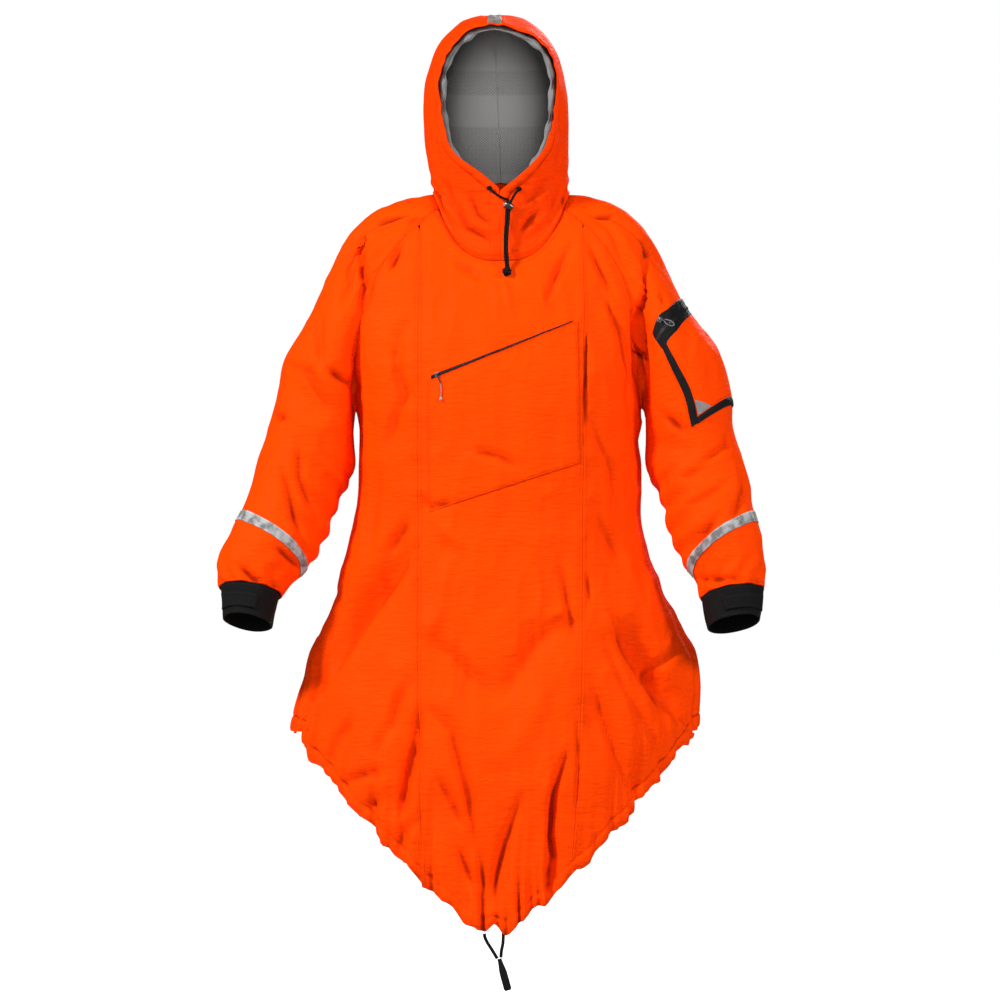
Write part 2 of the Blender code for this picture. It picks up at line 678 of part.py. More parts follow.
def keep_side(point, side, up, gap):
    """Hold points of half the hood a gap clear of its middle line."""
    middle = middle_line(up)
    point[..., 0] = middle + side * np.maximum(side * (point[..., 0] - middle), gap)
    return point


def neck_angles():
    """The angles of the cells along half the neck seam, as shares of half a turn."""
    first, last = math.radians(SEAM_ROWS[0][0]), math.pi - math.radians(SEAM_ROWS[0][1])
    front = np.linspace(0, first, FRONT_CELLS // 2 + 1)
    back = np.linspace(last, math.pi, BACK_CELLS // 2 + 1)
    return np.concatenate((front, (math.pi / 2,), back)) / math.pi


def hood_half(name, side, colour):
    """Half the hood, with the turned-in cord tunnel along the face opening."""
    rows = []
    for up in HOOD_LEVELS:
        across = neck_angles() if up == 0 else hood_columns()
        point, normal = hood_point(side, across, np.full_like(across, up))
        inner = point - normal * hood_thickness(point, up)[:, None]
        rows.append((point, keep_side(inner, side, up, SEAM_GAP / 2), across))
    return wall(name, rows, colour)


def hood_columns():
    return np.concatenate(((0, 0.04, 0.09, 0.14), np.linspace(0.22, 1, 8)))


def hood_thickness(point, up):
    """Plain cloth, but for the cord tunnel along the face opening."""
    reach = np.linalg.norm(point - point[0], axis=-1)
    tunnel = (1 - ease((reach - HOOD_TUNNEL_WIDTH * 0.6) / (HOOD_TUNNEL_WIDTH * 0.5)))
    tunnel = tunnel * ease((up - FACE_START + 0.1) / 0.1)
    return CLOTH + (HOOD_TUNNEL_THICKNESS - CLOTH) * tunnel


def hood_lining(name, side, colour):
    """Half the lining, which shows inside the hood."""
    rows = []
    for up in HOOD_LEVELS[1:]:
        columns = hood_columns()[1:]
        point, normal = hood_point(side, hood_columns(), np.full(len(columns) + 1, up))
        crown = LINING_CROWN_DROP * ease((hood_columns() - 0.85) / 0.15) * ease((up - 0.85) / 0.15)
        sewn = (LINING_DROP - LAY_GAP) * (hood_columns() < 0.05)
        under = (hood_thickness(point, up) + LINING_DROP - sewn + crown)[1:, None]
        outer = keep_side(point[1:] - normal[1:] * under, side, up, SEAM_GAP)
        inner = keep_side(outer - normal[1:] * THIN_CLOTH, side, up, SEAM_GAP)
        rows.append((outer, inner, columns))
    return wall(name, rows, colour)


def solve_front(x, z):
    """The body's angle and level at a place seen from the front."""
    x, z = np.broadcast_arrays(np.asarray(x, float), np.asarray(z, float))
    row = np.full(x.shape, 6.0)
    for _ in range(60):
        level = spline(BODY_ROWS, row)
        share = np.clip((x - level[..., 6]) / level[..., 3], -1, 1)
        angle = np.arcsin(np.sign(share) * np.abs(share) ** (level[..., 8] / 2))
        row = np.clip(row - (z - body_base(angle, row)[..., 2]) / 85, 0, HEM_ROW)
    return angle, row


def on_front(x, z, lift):
    """Points on the front of the body as seen from the front, moved out by a lift."""
    point, normal = body_point(*solve_front(x, z))
    return point + normal * np.asarray(lift)[..., None]


def quad(corners, across, down):
    """Points between four corners: top left, top right, bottom left and bottom right."""
    top_left, top_right, bottom_left, bottom_right = (np.array(corner, float) for corner in corners)
    across, down = np.asarray(across)[..., None], np.asarray(down)[..., None]
    top = top_left + (top_right - top_left) * across
    bottom = bottom_left + (bottom_right - bottom_left) * across
    return top + (bottom - top) * down


def laid_panel(name, place, corners, size, lift, thickness, colour, roughness=0.6):
    """A piece laid on the cloth, between four corners in the cloth's own two coordinates."""
    share = np.linspace(0, 1, size[0] + 1)
    rows = []
    for down in np.linspace(0, 1, size[1] + 1):
        spot = quad(corners, share, np.full_like(share, down))
        outer = place(spot[:, 0], spot[:, 1], np.full_like(share, lift + thickness))
        inner = place(spot[:, 0], spot[:, 1], np.full_like(share, lift))
        rows.append((outer, inner, share))
    return wall(name, rows, colour, roughness)


def on_sleeve(side):
    """A placing function for one sleeve, whose coordinates are its turn and its ring number."""
    def place(turn, row, lift):
        point, normal = sleeve_point(side, turn, row)
        return point + normal * np.asarray(lift)[..., None]
    return place


def sleeve_band(name, side, colour):
    """A reflective band round the forearm, lower on its inner side."""
    turns = sleeve_turns()
    middle = BAND_ROW + BAND_FALL * np.abs(turns) ** 1.6
    rows = []
    for offset in (-0.5, 0, 0.5):
        point, normal = sleeve_point(side, turns, middle + offset * BAND_ROWS)
        rows.append((point + normal * (BAND_LIFT + THIN_TAPE), point + normal * BAND_LIFT,
                     turns * math.pi))
    return wall(name, rows, colour, closed=True)


def cuff_tab(name, side, colour):
    """The closing tab laid over the front of a cuff."""
    corners = ((0.62, 8.55), (0.08, 8.45), (0.60, 9.5), (0.06, 9.5))
    return laid_panel(name, on_sleeve(side), corners, (8, 2), LAY_GAP, 1.6, colour, 0.8)


def frame_of(origin, along, out):
    """A matrix with X along a direction, Z out of the cloth, and Y completing it."""
    along, out = Vector(along).normalized(), Vector(out).normalized()
    side = out.cross(along).normalized()
    out = along.cross(side)
    matrix = Matrix((along, side, out)).transposed().to_4x4()
    matrix.translation = Vector(origin)
    return matrix


def ring_plate(name, matrix, hole, outline, depth, colour, roughness=0.4):
    """A plate across the matrix's X axis, with an outline and a round hole."""
    mesh = bmesh.new()
    count = len(outline)
    loops = []
    for face in (-1, 1):
        for edge in (outline, circle(hole, count)):
            loops.append([mesh.verts.new(matrix @ Vector((face * depth / 2, *spot))) for spot in edge])
    outer_low, inner_low, outer_high, inner_high = loops
    for first, second in ((outer_low, outer_high), (inner_high, inner_low),
                          (outer_high, inner_high), (inner_low, outer_low)):
        for index in range(count):
            after = (index + 1) % count
            mesh.faces.new((first[index], first[after], second[after], second[index]))
    return finish(name, mesh, colour, roughness)


def slab(name, matrix, size, colour, bevel=0.6, roughness=0.4):
    """A block with eased edges."""
    mesh = bmesh.new()
    bmesh.ops.create_cube(mesh, size=1.0)
    for vertex in mesh.verts:
        vertex.co = matrix @ Vector([vertex.co[axis] * size[axis] for axis in range(3)])
    bmesh.ops.bevel(mesh, geom=mesh.edges[:], offset=bevel, segments=2, profile=0.5,
                    affect="EDGES", clamp_overlap=True)
    return finish(name, mesh, colour, roughness)


def circle(radius, count=16):
    """Points of a circle in a plane, as pairs."""
    angles = [2 * math.pi * index / count for index in range(count)]
    return [(radius * math.cos(angle), radius * math.sin(angle)) for angle in angles]


def zip_slider(name, matrix, colour):
    """A slider on its zip, with the upright ring that its pull hangs on."""
    body_height = SLIDER_LIFT + SLIDER_SIZE[2] / 2
    slab(name, matrix @ Matrix.Translation((0, 0, body_height)), SLIDER_SIZE, colour)
    ring_height = SLIDER_LIFT + SLIDER_SIZE[2] + 0.3 + BRIDGE_RADIUS
    upright = matrix @ Matrix.Translation((0, 0, ring_height)) @ Matrix.Rotation(math.pi / 2, 4, "Z")
    ring_plate(name + "_bridge", upright, BRIDGE_HOLE, circle(BRIDGE_RADIUS), BRIDGE_DEPTH, colour)
    return matrix @ Matrix.Translation((0, 0, ring_height + (BRIDGE_HOLE + BRIDGE_RADIUS) / 2))


def zip_pull(name, axis, length, colour):
    """A pull tab, whose ring goes round the slider's upright ring and turns about its top."""
    outline = circle(PULL_RADIUS)
    half = PULL_TAIL / 2
    for index, spot in ((6, (-PULL_RADIUS, half)), (7, (-length, half)), (8, (-length, 0)),
                        (9, (-length, -half)), (10, (-PULL_RADIUS, -half))):
        outline[index] = spot
    ring_plate(name, axis, PULL_HOLE, outline, PULL_DEPTH, colour)


def tube(name, points, radius, colour, resolution=2, roughness=0.7):
    """A cord through its route, read from a smooth curve."""
    route = np.array(points, float)
    length = np.sum(np.linalg.norm(np.diff(route, axis=0), axis=1))
    count = max(6, int(length / (5 * radius)))
    smooth = spline(route, np.linspace(0, len(route) - 1, count + 1))
    curve = bpy.data.curves.new(name, "CURVE")
    curve.dimensions = "3D"
    line = curve.splines.new("POLY")
    line.points.add(count)
    for point, place in zip(line.points, smooth):
        point.co = (*(place * METRE), 1)
    curve.bevel_depth = radius * METRE
    curve.bevel_resolution = resolution
    curve.use_fill_caps = True
    cord = bpy.data.objects.new(name, curve)
    bpy.context.scene.collection.objects.link(cord)
    curve.materials.append(plain_material(name, colour, roughness))
    return cord


def turned(name, matrix, profile, colour, sides=16, roughness=0.4):
    """A solid turned about Z, from a profile of radius and height, closed at both ends."""
    mesh = bmesh.new()
    loops = []
    for radius, height in profile:
        loop = []
        for index in range(sides):
            angle = 2 * math.pi * index / sides
            spot = Vector((radius * math.cos(angle), radius * math.sin(angle), height))
            loop.append(mesh.verts.new(matrix @ spot))
        loops.append(loop)
    for lower, upper in zip(loops, loops[1:]):
        for index in range(sides):
            after = (index + 1) % sides
            mesh.faces.new((lower[index], lower[after], upper[after], upper[index]))
    mesh.faces.new(loops[0])
    mesh.faces.new(loops[-1])
    return finish(name, mesh, colour, roughness)


def chest_pocket(orange, black, metal, grey):
    """The patch pocket on the chest, its slanted zip, and the slider with its hanging pull."""
    laid_panel("chest_pocket", on_front, CHEST_POCKET_CORNERS, (12, 7), LAY_GAP + PATCH_LIFT,
               POCKET_THICKNESS, orange)
    laid_panel("chest_zip", on_front, CHEST_ZIP_CORNERS, (16, 1), LAY_GAP, ZIP_THICKNESS, black)
    top_left, top_right, bottom_left, bottom_right = CHEST_ZIP_CORNERS
    share = (CHEST_SLIDER_X - top_left[0]) / (top_right[0] - top_left[0])
    spots = quad(CHEST_ZIP_CORNERS, np.array((share, share + 0.05)), np.array((0.5, 0.5)))
    point, normal = body_point(*solve_front(spots[:, 0], spots[:, 1]))
    matrix = frame_of(point[0], point[1] - point[0], normal[0])
    axis = zip_slider("chest_slider", matrix, metal) @ Matrix.Rotation(PULL_TILT, 4, "X")
    zip_pull("chest_pull", axis, CHEST_PULL_LENGTH, black)
    start = axis @ Vector((0, -CHEST_PULL_LENGTH - 0.3, 0))
    route = [start + Vector((across, deep, -drop)) for across, deep, drop in CHEST_CORD_DROPS]
    tube("chest_pull_cord", [tuple(spot) for spot in route], PULL_CORD_RADIUS, grey)
    knob = Matrix.Translation(route[-1] + Vector((0, -0.2, -3.4)))
    turned("chest_pull_knob", knob, KNOB_PROFILE, grey, 10)
    return axis


def sleeve_pocket(orange, black, metal, grey):
    """The bound pocket on the left upper arm, its zip, slider and pull, and a reflective corner."""
    place = on_sleeve(1)
    laid_panel("sleeve_pocket", place, SLEEVE_POCKET_CORNERS, (10, 9), LAY_GAP + 0.7,
               POCKET_THICKNESS, orange)
    laid_panel("sleeve_zip", place, SLEEVE_ZIP_CORNERS, (12, 2), LAY_GAP + 0.4, ZIP_THICKNESS, black)
    for word, corners, cells in SLEEVE_POCKET_BINDINGS:
        laid_panel("sleeve_pocket_binding_" + word, place, corners, cells, LAY_GAP + 0.4,
                   ZIP_THICKNESS, black)
    laid_panel("sleeve_triangle", place, SLEEVE_TRIANGLE_CORNERS, (4, 4),
               LAY_GAP + 0.4 + POCKET_THICKNESS + 0.4, 0.8, grey)
    turn, row = SLEEVE_SLIDER_SPOT
    turns, rows = np.array((turn, turn - 0.03)), np.array((row, row + 0.0145))
    point, normal = sleeve_point(1, turns, rows)
    matrix = frame_of(point[0] + normal[0] * SLEEVE_SLIDER_LIFT, point[1] - point[0], normal[0])
    axis = zip_slider("sleeve_slider", matrix, metal) @ Matrix.Rotation(PULL_TILT, 4, "X")
    zip_pull("sleeve_pull", axis, SLEEVE_PULL_LENGTH, metal)
    reach = SLEEVE_PULL_LENGTH + 0.4
    loop = [tuple(axis @ Vector((x, y - reach, z))) for x, y, z in PULL_LOOP]
    tube("sleeve_pull_cord", loop, PULL_CORD_RADIUS, grey)
    return axis


def hood_tape(colour):
    """The reflective tape over the crown, laid across the middle seam."""
    rows = []
    for across in np.linspace(*HOOD_TAPE_SHARES, 9):
        outer, inner = [], []
        for side, up in ((-1, 1 - HOOD_TAPE_ROWS), (1, 1 - HOOD_TAPE_ROWS)):
            point, normal = hood_point(side, np.array([across]), np.array([up]))
            outer.append(point[0] + normal[0] * (HOOD_TAPE_LIFT + THIN_TAPE))
            inner.append(point[0] + normal[0] * HOOD_TAPE_LIFT)
        point, normal = hood_point(1, np.array([across]), np.array([1.0]))
        middle = point[0] * (0, 1, 1) + np.array((MIDDLE_AT_CROWN, 0, 0))
        outer.insert(1, middle + normal[0] * (HOOD_TAPE_LIFT + THIN_TAPE))
        inner.insert(1, middle + normal[0] * HOOD_TAPE_LIFT)
        rows.append((np.array(outer), np.array(inner), np.array((0, 0.5, 1))))
    return wall("hood_tape", rows, colour)


def neck_cord(black, metal):
    """The hood's drawcord, its eyelets beside the chin, the cord lock and the end knot."""
    starts = {0: []}
    for side, across, up in EYELET_SHARES:
        point, normal = hood_point(side, np.array([across]), np.array([up]))
        matrix = frame_of(point[0] + normal[0] * EYELET_LIFT, normal[0], (0, 0, 1))
        name = "eyelet_" + ("left" if side > 0 else "right")
        ring_plate(name, matrix, EYELET_HOLE, circle(EYELET_RADIUS), EYELET_DEPTH, black)
        starts[side] = [tuple(point[0] + normal[0] * height) for height in CORD_STARTS]
    for name, side, route in NECK_CORDS:
        tube(name, (*starts[side], *route), CORD_RADIUS, black)
    turn = Vector((0, 0, 1)).rotation_difference(Vector(LOCK_AXIS)).to_matrix().to_4x4()
    matrix = Matrix.Translation(LOCK_CENTRE) @ turn
    turned("cord_lock", matrix, LOCK_PROFILE, black)
    turned("cord_lock_button", matrix, BUTTON_PROFILE, metal)
    turned("neck_cord_knot", Matrix.Translation(KNOT_CENTRE), KNOT_PROFILE, black, 12, 0.8)


def hem_cord(black):
    """The ends of the hem's elastic cord and the folded strap that joins them."""
    for name, route in HEM_CORDS:
        tube(name, route, HEM_CORD_RADIUS, black)
    top, foot = Vector(HEM_TAB_TOP), Vector(HEM_TAB_FOOT)
    matrix = frame_of((top + foot) / 2, foot - top, (0, -1, 0))
    size = ((foot - top).length, HEM_TAB_WIDTH, HEM_TAB_THICKNESS)
    slab("hem_pull_tab", matrix, size, black, 0.9, 0.8)


def build():
    for thing in list(bpy.data.objects):
        bpy.data.objects.remove(thing)
    orange, black = (1.0, 0.06, 0.0), (0.01, 0.01, 0.01)
    grey, metal = (0.25, 0.25, 0.25), (0.12, 0.12, 0.12)
    seam_side = BODY_LEVELS[BODY_LEVELS >= SIDE_START]
    body_panel("front_centre", lambda row: -front_edge(row, -1), lambda row: front_edge(row, 1),
               BODY_LEVELS, FRONT_CELLS, orange)
    body_panel("side_front_left", lambda row: princess_angle(row, 1),
               lambda row: raglan_angle(row, False), seam_side, SIDE_CELLS, orange)
    body_panel("side_front_right", lambda row: -raglan_angle(row, False),
               lambda row: princess_angle(row, -1), seam_side, SIDE_CELLS, orange)
    body_panel("back", lambda row: raglan_angle(row, True),
               lambda row: 2 * math.pi - raglan_angle(row, True), BODY_LEVELS, BACK_CELLS, orange)
    for side, word in ((1, "left"), (-1, "right")):
        sleeve("sleeve_" + word, side, orange)
        cuff("cuff_" + word, side, black)
        cuff_tab("cuff_tab_" + word, side, black)
        sleeve_band("sleeve_band_" + word, side, grey)
        hood_half("hood_" + word, side, orange)
        hood_lining("hood_lining_" + word, side, grey)
    hood_tape(grey)
    axes = {"chest": chest_pocket(orange, black, metal, grey),
            "sleeve": sleeve_pocket(orange, black, metal, grey)}
    neck_cord(black, metal)
    hem_cord(black)
    return axes


def front_edge(row, side):
    """The angle of the front panel's edge: the raglan seam, and the princess seam below it."""
    return min(raglan_angle(row, False), abs(princess_angle(row, side)))


HINGE_AXES = build()
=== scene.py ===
# %% [markdown]
# # A hooded paddling cagoule
# A cagoule is a long pullover of thin coated nylon. This one is shown filled out, as if a wearer
# stood in it, with its neck, cuffs and hem open. Every piece of cloth is made here as a thin
# sheet that lies on the form of its imported solid, with the creases placed one by one.
# Lengths are in millimetres until a mesh is made. +X is the wearer's left and -Y the front.

# %% Load the imported model
import math

import bmesh
import bpy
import numpy as np
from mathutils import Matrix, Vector


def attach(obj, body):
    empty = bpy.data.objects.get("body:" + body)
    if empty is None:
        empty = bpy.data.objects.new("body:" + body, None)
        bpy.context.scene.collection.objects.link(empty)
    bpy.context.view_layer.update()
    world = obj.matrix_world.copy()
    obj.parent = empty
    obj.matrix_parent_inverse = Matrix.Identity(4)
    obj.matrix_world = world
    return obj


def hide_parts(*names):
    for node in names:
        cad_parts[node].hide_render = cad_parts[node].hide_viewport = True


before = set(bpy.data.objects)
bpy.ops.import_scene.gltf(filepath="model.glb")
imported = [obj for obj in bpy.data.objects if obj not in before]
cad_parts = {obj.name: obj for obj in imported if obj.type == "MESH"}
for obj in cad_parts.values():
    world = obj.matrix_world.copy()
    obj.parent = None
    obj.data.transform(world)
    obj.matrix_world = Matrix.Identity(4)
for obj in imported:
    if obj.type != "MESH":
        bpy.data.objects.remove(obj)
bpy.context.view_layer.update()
METRE = 0.001
SIDES = ((1, "left"), (-1, "right"))

# %% [markdown]
# ## The camera
# The photograph was taken with a long lens, level with the middle of the garment, so the sides
# hardly converge. A camera 12 m away with a narrow angle shows the same outline.

# %% Camera
PICTURE_WIDTH = 1.55
PICTURE_MIDDLE = -0.465
CAMERA_DISTANCE = 12.0
FRONT_DEPTH = -0.1

camera = bpy.data.cameras.new("camera")
camera.lens = camera.sensor_width * (CAMERA_DISTANCE + FRONT_DEPTH) / PICTURE_WIDTH
camera.clip_end = 100
eye = bpy.data.objects.new("camera", camera)
eye.location = (0, -CAMERA_DISTANCE, PICTURE_MIDDLE)
eye.rotation_euler = (math.pi / 2, 0, 0)
bpy.context.scene.collection.objects.link(eye)
bpy.context.scene.camera = eye
print("camera", round(camera.lens), "mm lens")

# %% [markdown]
# ## Smooth curves through tables
# A pattern cutter works from measures taken at a row of levels. The same is done here: each
# table gives the measures level by level, and a spline gives every value between them.

# %% Curves and directions
def spline(rows, place):
    """The smooth value of every column of a table at fractional row numbers."""
    table = np.array(rows, float)
    slope = np.gradient(table, axis=0)
    at = np.clip(np.asarray(place, float), 0, len(table) - 1)
    low = np.minimum(np.floor(at).astype(int), len(table) - 2)
    part = (at - low)[..., None]
    rise = table[low + 1] - table[low]
    bend = slope[low] + slope[low + 1] - 2 * rise
    lift = 3 * rise - 2 * slope[low] - slope[low + 1]
    return table[low] + part * slope[low] + part ** 2 * lift + part ** 3 * bend


def unit(vector):
    return vector / np.maximum(np.linalg.norm(vector, axis=-1, keepdims=True), 1e-9)


def ease(value):
    """A soft step from 0 to 1."""
    value = np.clip(value, 0, 1)
    return value * value * (3 - 2 * value)

# %% [markdown]
# ## Cords
# Cords come first. A drawcord is a braid of black thread over an elastic core. Its path is a
# smooth curve through a few points, and a poly curve with a round bevel gives it its thickness.
# The braid itself is a pattern on the curve's own UV map, made later.

# %% Cord helper
CORD_RADIUS = 2.0
HEM_CORD_RADIUS = 2.6
NECK_CORD_POINTS = 60
HEM_CORD_POINTS = 24


def select_only(*things):
    bpy.ops.object.select_all(action="DESELECT")
    for thing in things:
        thing.select_set(True)
    bpy.context.view_layer.objects.active = thing


def cord_curve(name, route, radius, count):
    """A round cord along a smooth route, and its length in metres."""
    route = np.array(route, float)
    smooth = spline(route, np.linspace(0, len(route) - 1, count)) * METRE
    curve = bpy.data.curves.new(name, "CURVE")
    curve.dimensions = "3D"
    line = curve.splines.new("POLY")
    line.points.add(count - 1)
    for point, place in zip(line.points, smooth):
        point.co = (*place, 1)
    curve.bevel_depth = radius * METRE
    curve.bevel_resolution = 4
    curve.use_fill_caps = True
    cord = bpy.data.objects.new(name, curve)
    bpy.context.scene.collection.objects.link(cord)
    length = float(np.sum(np.linalg.norm(np.diff(smooth, axis=0), axis=1)))
    print(name, round(length * 1000), "mm")
    return cord, length, smooth

# %% The shape of the body, for all that lies on it
BODY_ROWS = (
    (-94, 13, 8, 107, 84, 74, 2, 3.0, 2.0), (-138, 2, -22, 174, 106, 98, 1, 4.0, 2.05),
    (-192, -46, -76, 212, 124, 114, 0, 4.2, 2.1), (-244, -122, -148, 232, 134, 122, 0, 4.0, 2.15),
    (-298, -216, -232, 234, 139, 126, 0, 3.0, 2.2), (-352, -322, -326, 222, 140, 124, 0, 2.2, 2.2),
    (-424, -392, -400, 219, 138, 121, 0, 2.0, 2.2), (-502, -462, -468, 219, 138, 120, 0, 2.0, 2.2),
    (-586, -530, -536, 229, 142, 123, -3, 1.8, 2.2), (-676, -594, -600, 252, 150, 130, 0, 1.7, 2.2),
    (-774, -654, -662, 277, 160, 140, 1, 1.6, 2.15), (-876, -706, -718, 303, 170, 150, 0, 1.5, 2.1),
    (-976, -752, -768, 311, 176, 156, -2, 1.4, 2.05),
    (-1062, -792, -812, 315, 176, 158, -8, 1.32, 2.0),
    (-1140, -823, -848, 315, 170, 156, -9, 1.26, 2.0),
)
UNDERARM_ROW = 5.0
HEM_ROW = len(BODY_ROWS) - 1.0
SEAM_ROWS = (
    (66, 66, -124, 127), (60, 61, -125, 129), (61, 62, -127, 131), (63, 64, -127, 130),
    (70, 71, -127, 129), (90, 90, -127, 128), (90, 90, -127, 128), (90, 90, -127, 128),
    (90, 90, -127, 128), (90, 90, -127, 127), (90, 90, -127, 126), (90, 90, -126, 124),
    (90, 90, -124, 120), (90, 90, -121, 114), (90, 90, -118, 108),
)

# %% The smooth body
def body_base(angle, row):
    """The smooth body: the angle runs from the front middle towards the wearer's left."""
    front_z, side_z, back_z, half_width, front_depth, back_depth, centre_x, dip, square = \
        np.moveaxis(spline(BODY_ROWS, row), -1, 0)
    sine, cosine = np.sin(angle), np.cos(angle)
    across = np.sign(sine) * np.abs(sine) ** (2 / square)
    deep = np.abs(cosine) ** (2 / square)
    in_front = cosine > 0
    middle_z = np.where(in_front, front_z, back_z)
    y = np.where(in_front, -front_depth, back_depth) * deep
    z = middle_z + (side_z - middle_z) * np.abs(across) ** dip
    return np.stack((centre_x + half_width * across, y, z), -1)


def body_normal(angle, row):
    """The outward direction of the smooth body."""
    step = 0.004
    upper, lower = (body_base(angle, np.clip(row + move, 0, HEM_ROW)) for move in (-step, step))
    down = lower - upper
    around = body_base(angle + step, row) - body_base(angle - step, row)
    return unit(np.cross(down, around))


print(len(BODY_ROWS), "body levels,", 2 * BODY_ROWS[-1][3], "mm across the hem")

# %% [markdown]
# ## The hood's form
# A hood is two halves sewn along the middle. Each half is a patch between four curves: the face
# opening, the middle line at the back, the neck seam and the line over the crown. An egg-like
# form fills it out as a head would.

# %% Hood form
SEAM_GAP = 0.34
MIDDLE_AT_NECK = 2.0
MIDDLE_AT_CROWN = -8.0
HOOD_MIDDLE = (-8.0, 12.0, 138.0)
HOOD_HALF_WIDTH = 107.0
HOOD_FRONT_DEPTH = 96.0
HOOD_BACK_DEPTH = 122.0
HOOD_RISE = 153.0
HOOD_DROP = 162.0
HOOD_ROUNDNESS = 2.3
FACE_ROWS = (
    (2, 2, -80, 17), (-29, 34, -79, 43), (-71, 65, -77, 76), (-86, 80, -76, 118),
    (-93, 87, -77, 160), (-93, 88, -79, 200), (-74, 70, -83, 240), (-42, 25, -90, 265),
    (-8, -8, -94, 272),
)
FACE_START = 0.36
NAPE_ROWS = (
    (74, 8), (96, 60), (124, 110), (133, 165), (118, 222), (84, 264),
)
CROWN_ROWS = (
    (-94, 272), (-68, 283), (-38, 289), (-6, 291), (28, 289), (58, 280), (84, 264),
)


def head_form(direction):
    """The point of the egg-like head form in a direction from its middle."""
    depth = np.where(direction[..., 1] < 0, HOOD_FRONT_DEPTH, HOOD_BACK_DEPTH)
    height = np.where(direction[..., 2] > 0, HOOD_RISE, HOOD_DROP)
    size = np.stack((np.full_like(depth, HOOD_HALF_WIDTH), depth, height), -1)
    reach = np.sum(np.abs(direction / size) ** HOOD_ROUNDNESS, -1) ** (-1 / HOOD_ROUNDNESS)
    return np.array(HOOD_MIDDLE) + direction * reach[..., None]

# %% The four edges of half a hood
def hood_front(side, up):
    """The front edge of half a hood: the middle seam up to the chin, then the face opening."""
    low = body_base(np.zeros_like(up), np.zeros_like(up))
    chin = spline(FACE_ROWS, np.zeros_like(up))
    chin = np.stack((chin[..., 0], chin[..., 2], chin[..., 3]), -1)
    share = (up / FACE_START)[..., None]
    face = spline(FACE_ROWS, (up - FACE_START) / (1 - FACE_START) * (len(FACE_ROWS) - 1))
    edge = np.stack((face[..., 1] if side > 0 else face[..., 0], face[..., 2], face[..., 3]), -1)
    return np.where(share < 1, low + (chin - low) * share, edge)


def middle_line(up):
    """How far the hood's middle seam lies to the wearer's left, from the neck to the crown."""
    return MIDDLE_AT_NECK + (MIDDLE_AT_CROWN - MIDDLE_AT_NECK) * up


def hood_back(up):
    """The middle line from the nape to the back of the crown."""
    rows = spline(NAPE_ROWS, up * (len(NAPE_ROWS) - 1))
    return np.stack((middle_line(up), rows[..., 0], rows[..., 1]), -1)


def hood_bottom(side, across):
    """The neck seam, a seam's gap above the edge of the body."""
    ring = body_base(side * math.pi * across, np.zeros_like(across))
    return ring + np.array((0, 0, SEAM_GAP + 0.1))


def hood_top(across):
    """The middle line from the brim over the crown to the back."""
    rows = spline(CROWN_ROWS, across * (len(CROWN_ROWS) - 1))
    return np.stack((np.full_like(across, MIDDLE_AT_CROWN), rows[..., 0], rows[..., 1]), -1)

# %% Half a hood between its edges
def coons(front, back, bottom, top, corners, weights):
    """A patch that meets four border curves."""
    near, far, low, high = (weight[..., None] for weight in weights)
    low_front, low_back, high_front, high_back = corners
    point = near * front + far * back
    point = point + low * (bottom - near * low_front - far * low_back)
    return point + high * (top - near * high_front - far * high_back)


def hood_base(side, across, up):
    """Half the smooth hood: across from the front edge to the back middle, up from the neck."""
    across, up = np.broadcast_arrays(np.asarray(across, float), np.asarray(up, float))
    zero, one = np.zeros_like(up), np.ones_like(up)
    borders = [hood_front(side, up), hood_back(up), hood_bottom(side, across), hood_top(across)]
    corners = [hood_front(side, zero), hood_back(zero), hood_front(side, one), hood_back(one)]
    plain = coons(*borders, corners, (1 - across, across, 1 - up, up))
    middle = np.array(HOOD_MIDDLE)
    form = head_form(unit(plain - middle))
    off_borders = [border - head_form(unit(border - middle)) for border in borders]
    off_corners = [corner - head_form(unit(corner - middle)) for corner in corners]
    weights = ((1 - across) ** 3, across ** 3, (1 - up) ** 2.2, up ** 4)
    return form + coons(*off_borders, off_corners, weights)


def hood_point(side, across, up):
    """A point on half the hood and its outward direction."""
    across, up = np.broadcast_arrays(np.asarray(across, float), np.asarray(up, float))
    step = 0.006
    base = hood_base(side, across, up)
    right = hood_base(side, np.minimum(across + step, 1), up)
    left = hood_base(side, np.maximum(across - step, 0), up)
    above = hood_base(side, across, np.minimum(up + step, 1))
    below = hood_base(side, across, np.maximum(up - step, 0))
    normal = unit(np.cross(right - left, above - below)) * side
    corner = (ease((across - 0.8) / 0.2) * ease((up - 0.8) / 0.2))[..., None]
    normal = normal * (1 - corner) + unit(base - np.array(HOOD_MIDDLE)) * corner
    on_middle = (across > 0.999) | (up > 0.999) | ((across < 0.001) & (up <= FACE_START))
    normal = unit(normal * np.where(on_middle[..., None], (0, 1, 1), 1))
    base = base + np.array((side * SEAM_GAP / 2, 0, 0))
    return base, normal


print(2 * HOOD_HALF_WIDTH, "mm across the hood,", len(FACE_ROWS), "levels of its opening")

# %% [markdown]
# ## The neck drawcord
# The hood's cord comes out of an eyelet on each side of the chin. Both ends go into a cord lock
# under the chin, a black barrel with a silver button, and hang from it side by side to one knot.

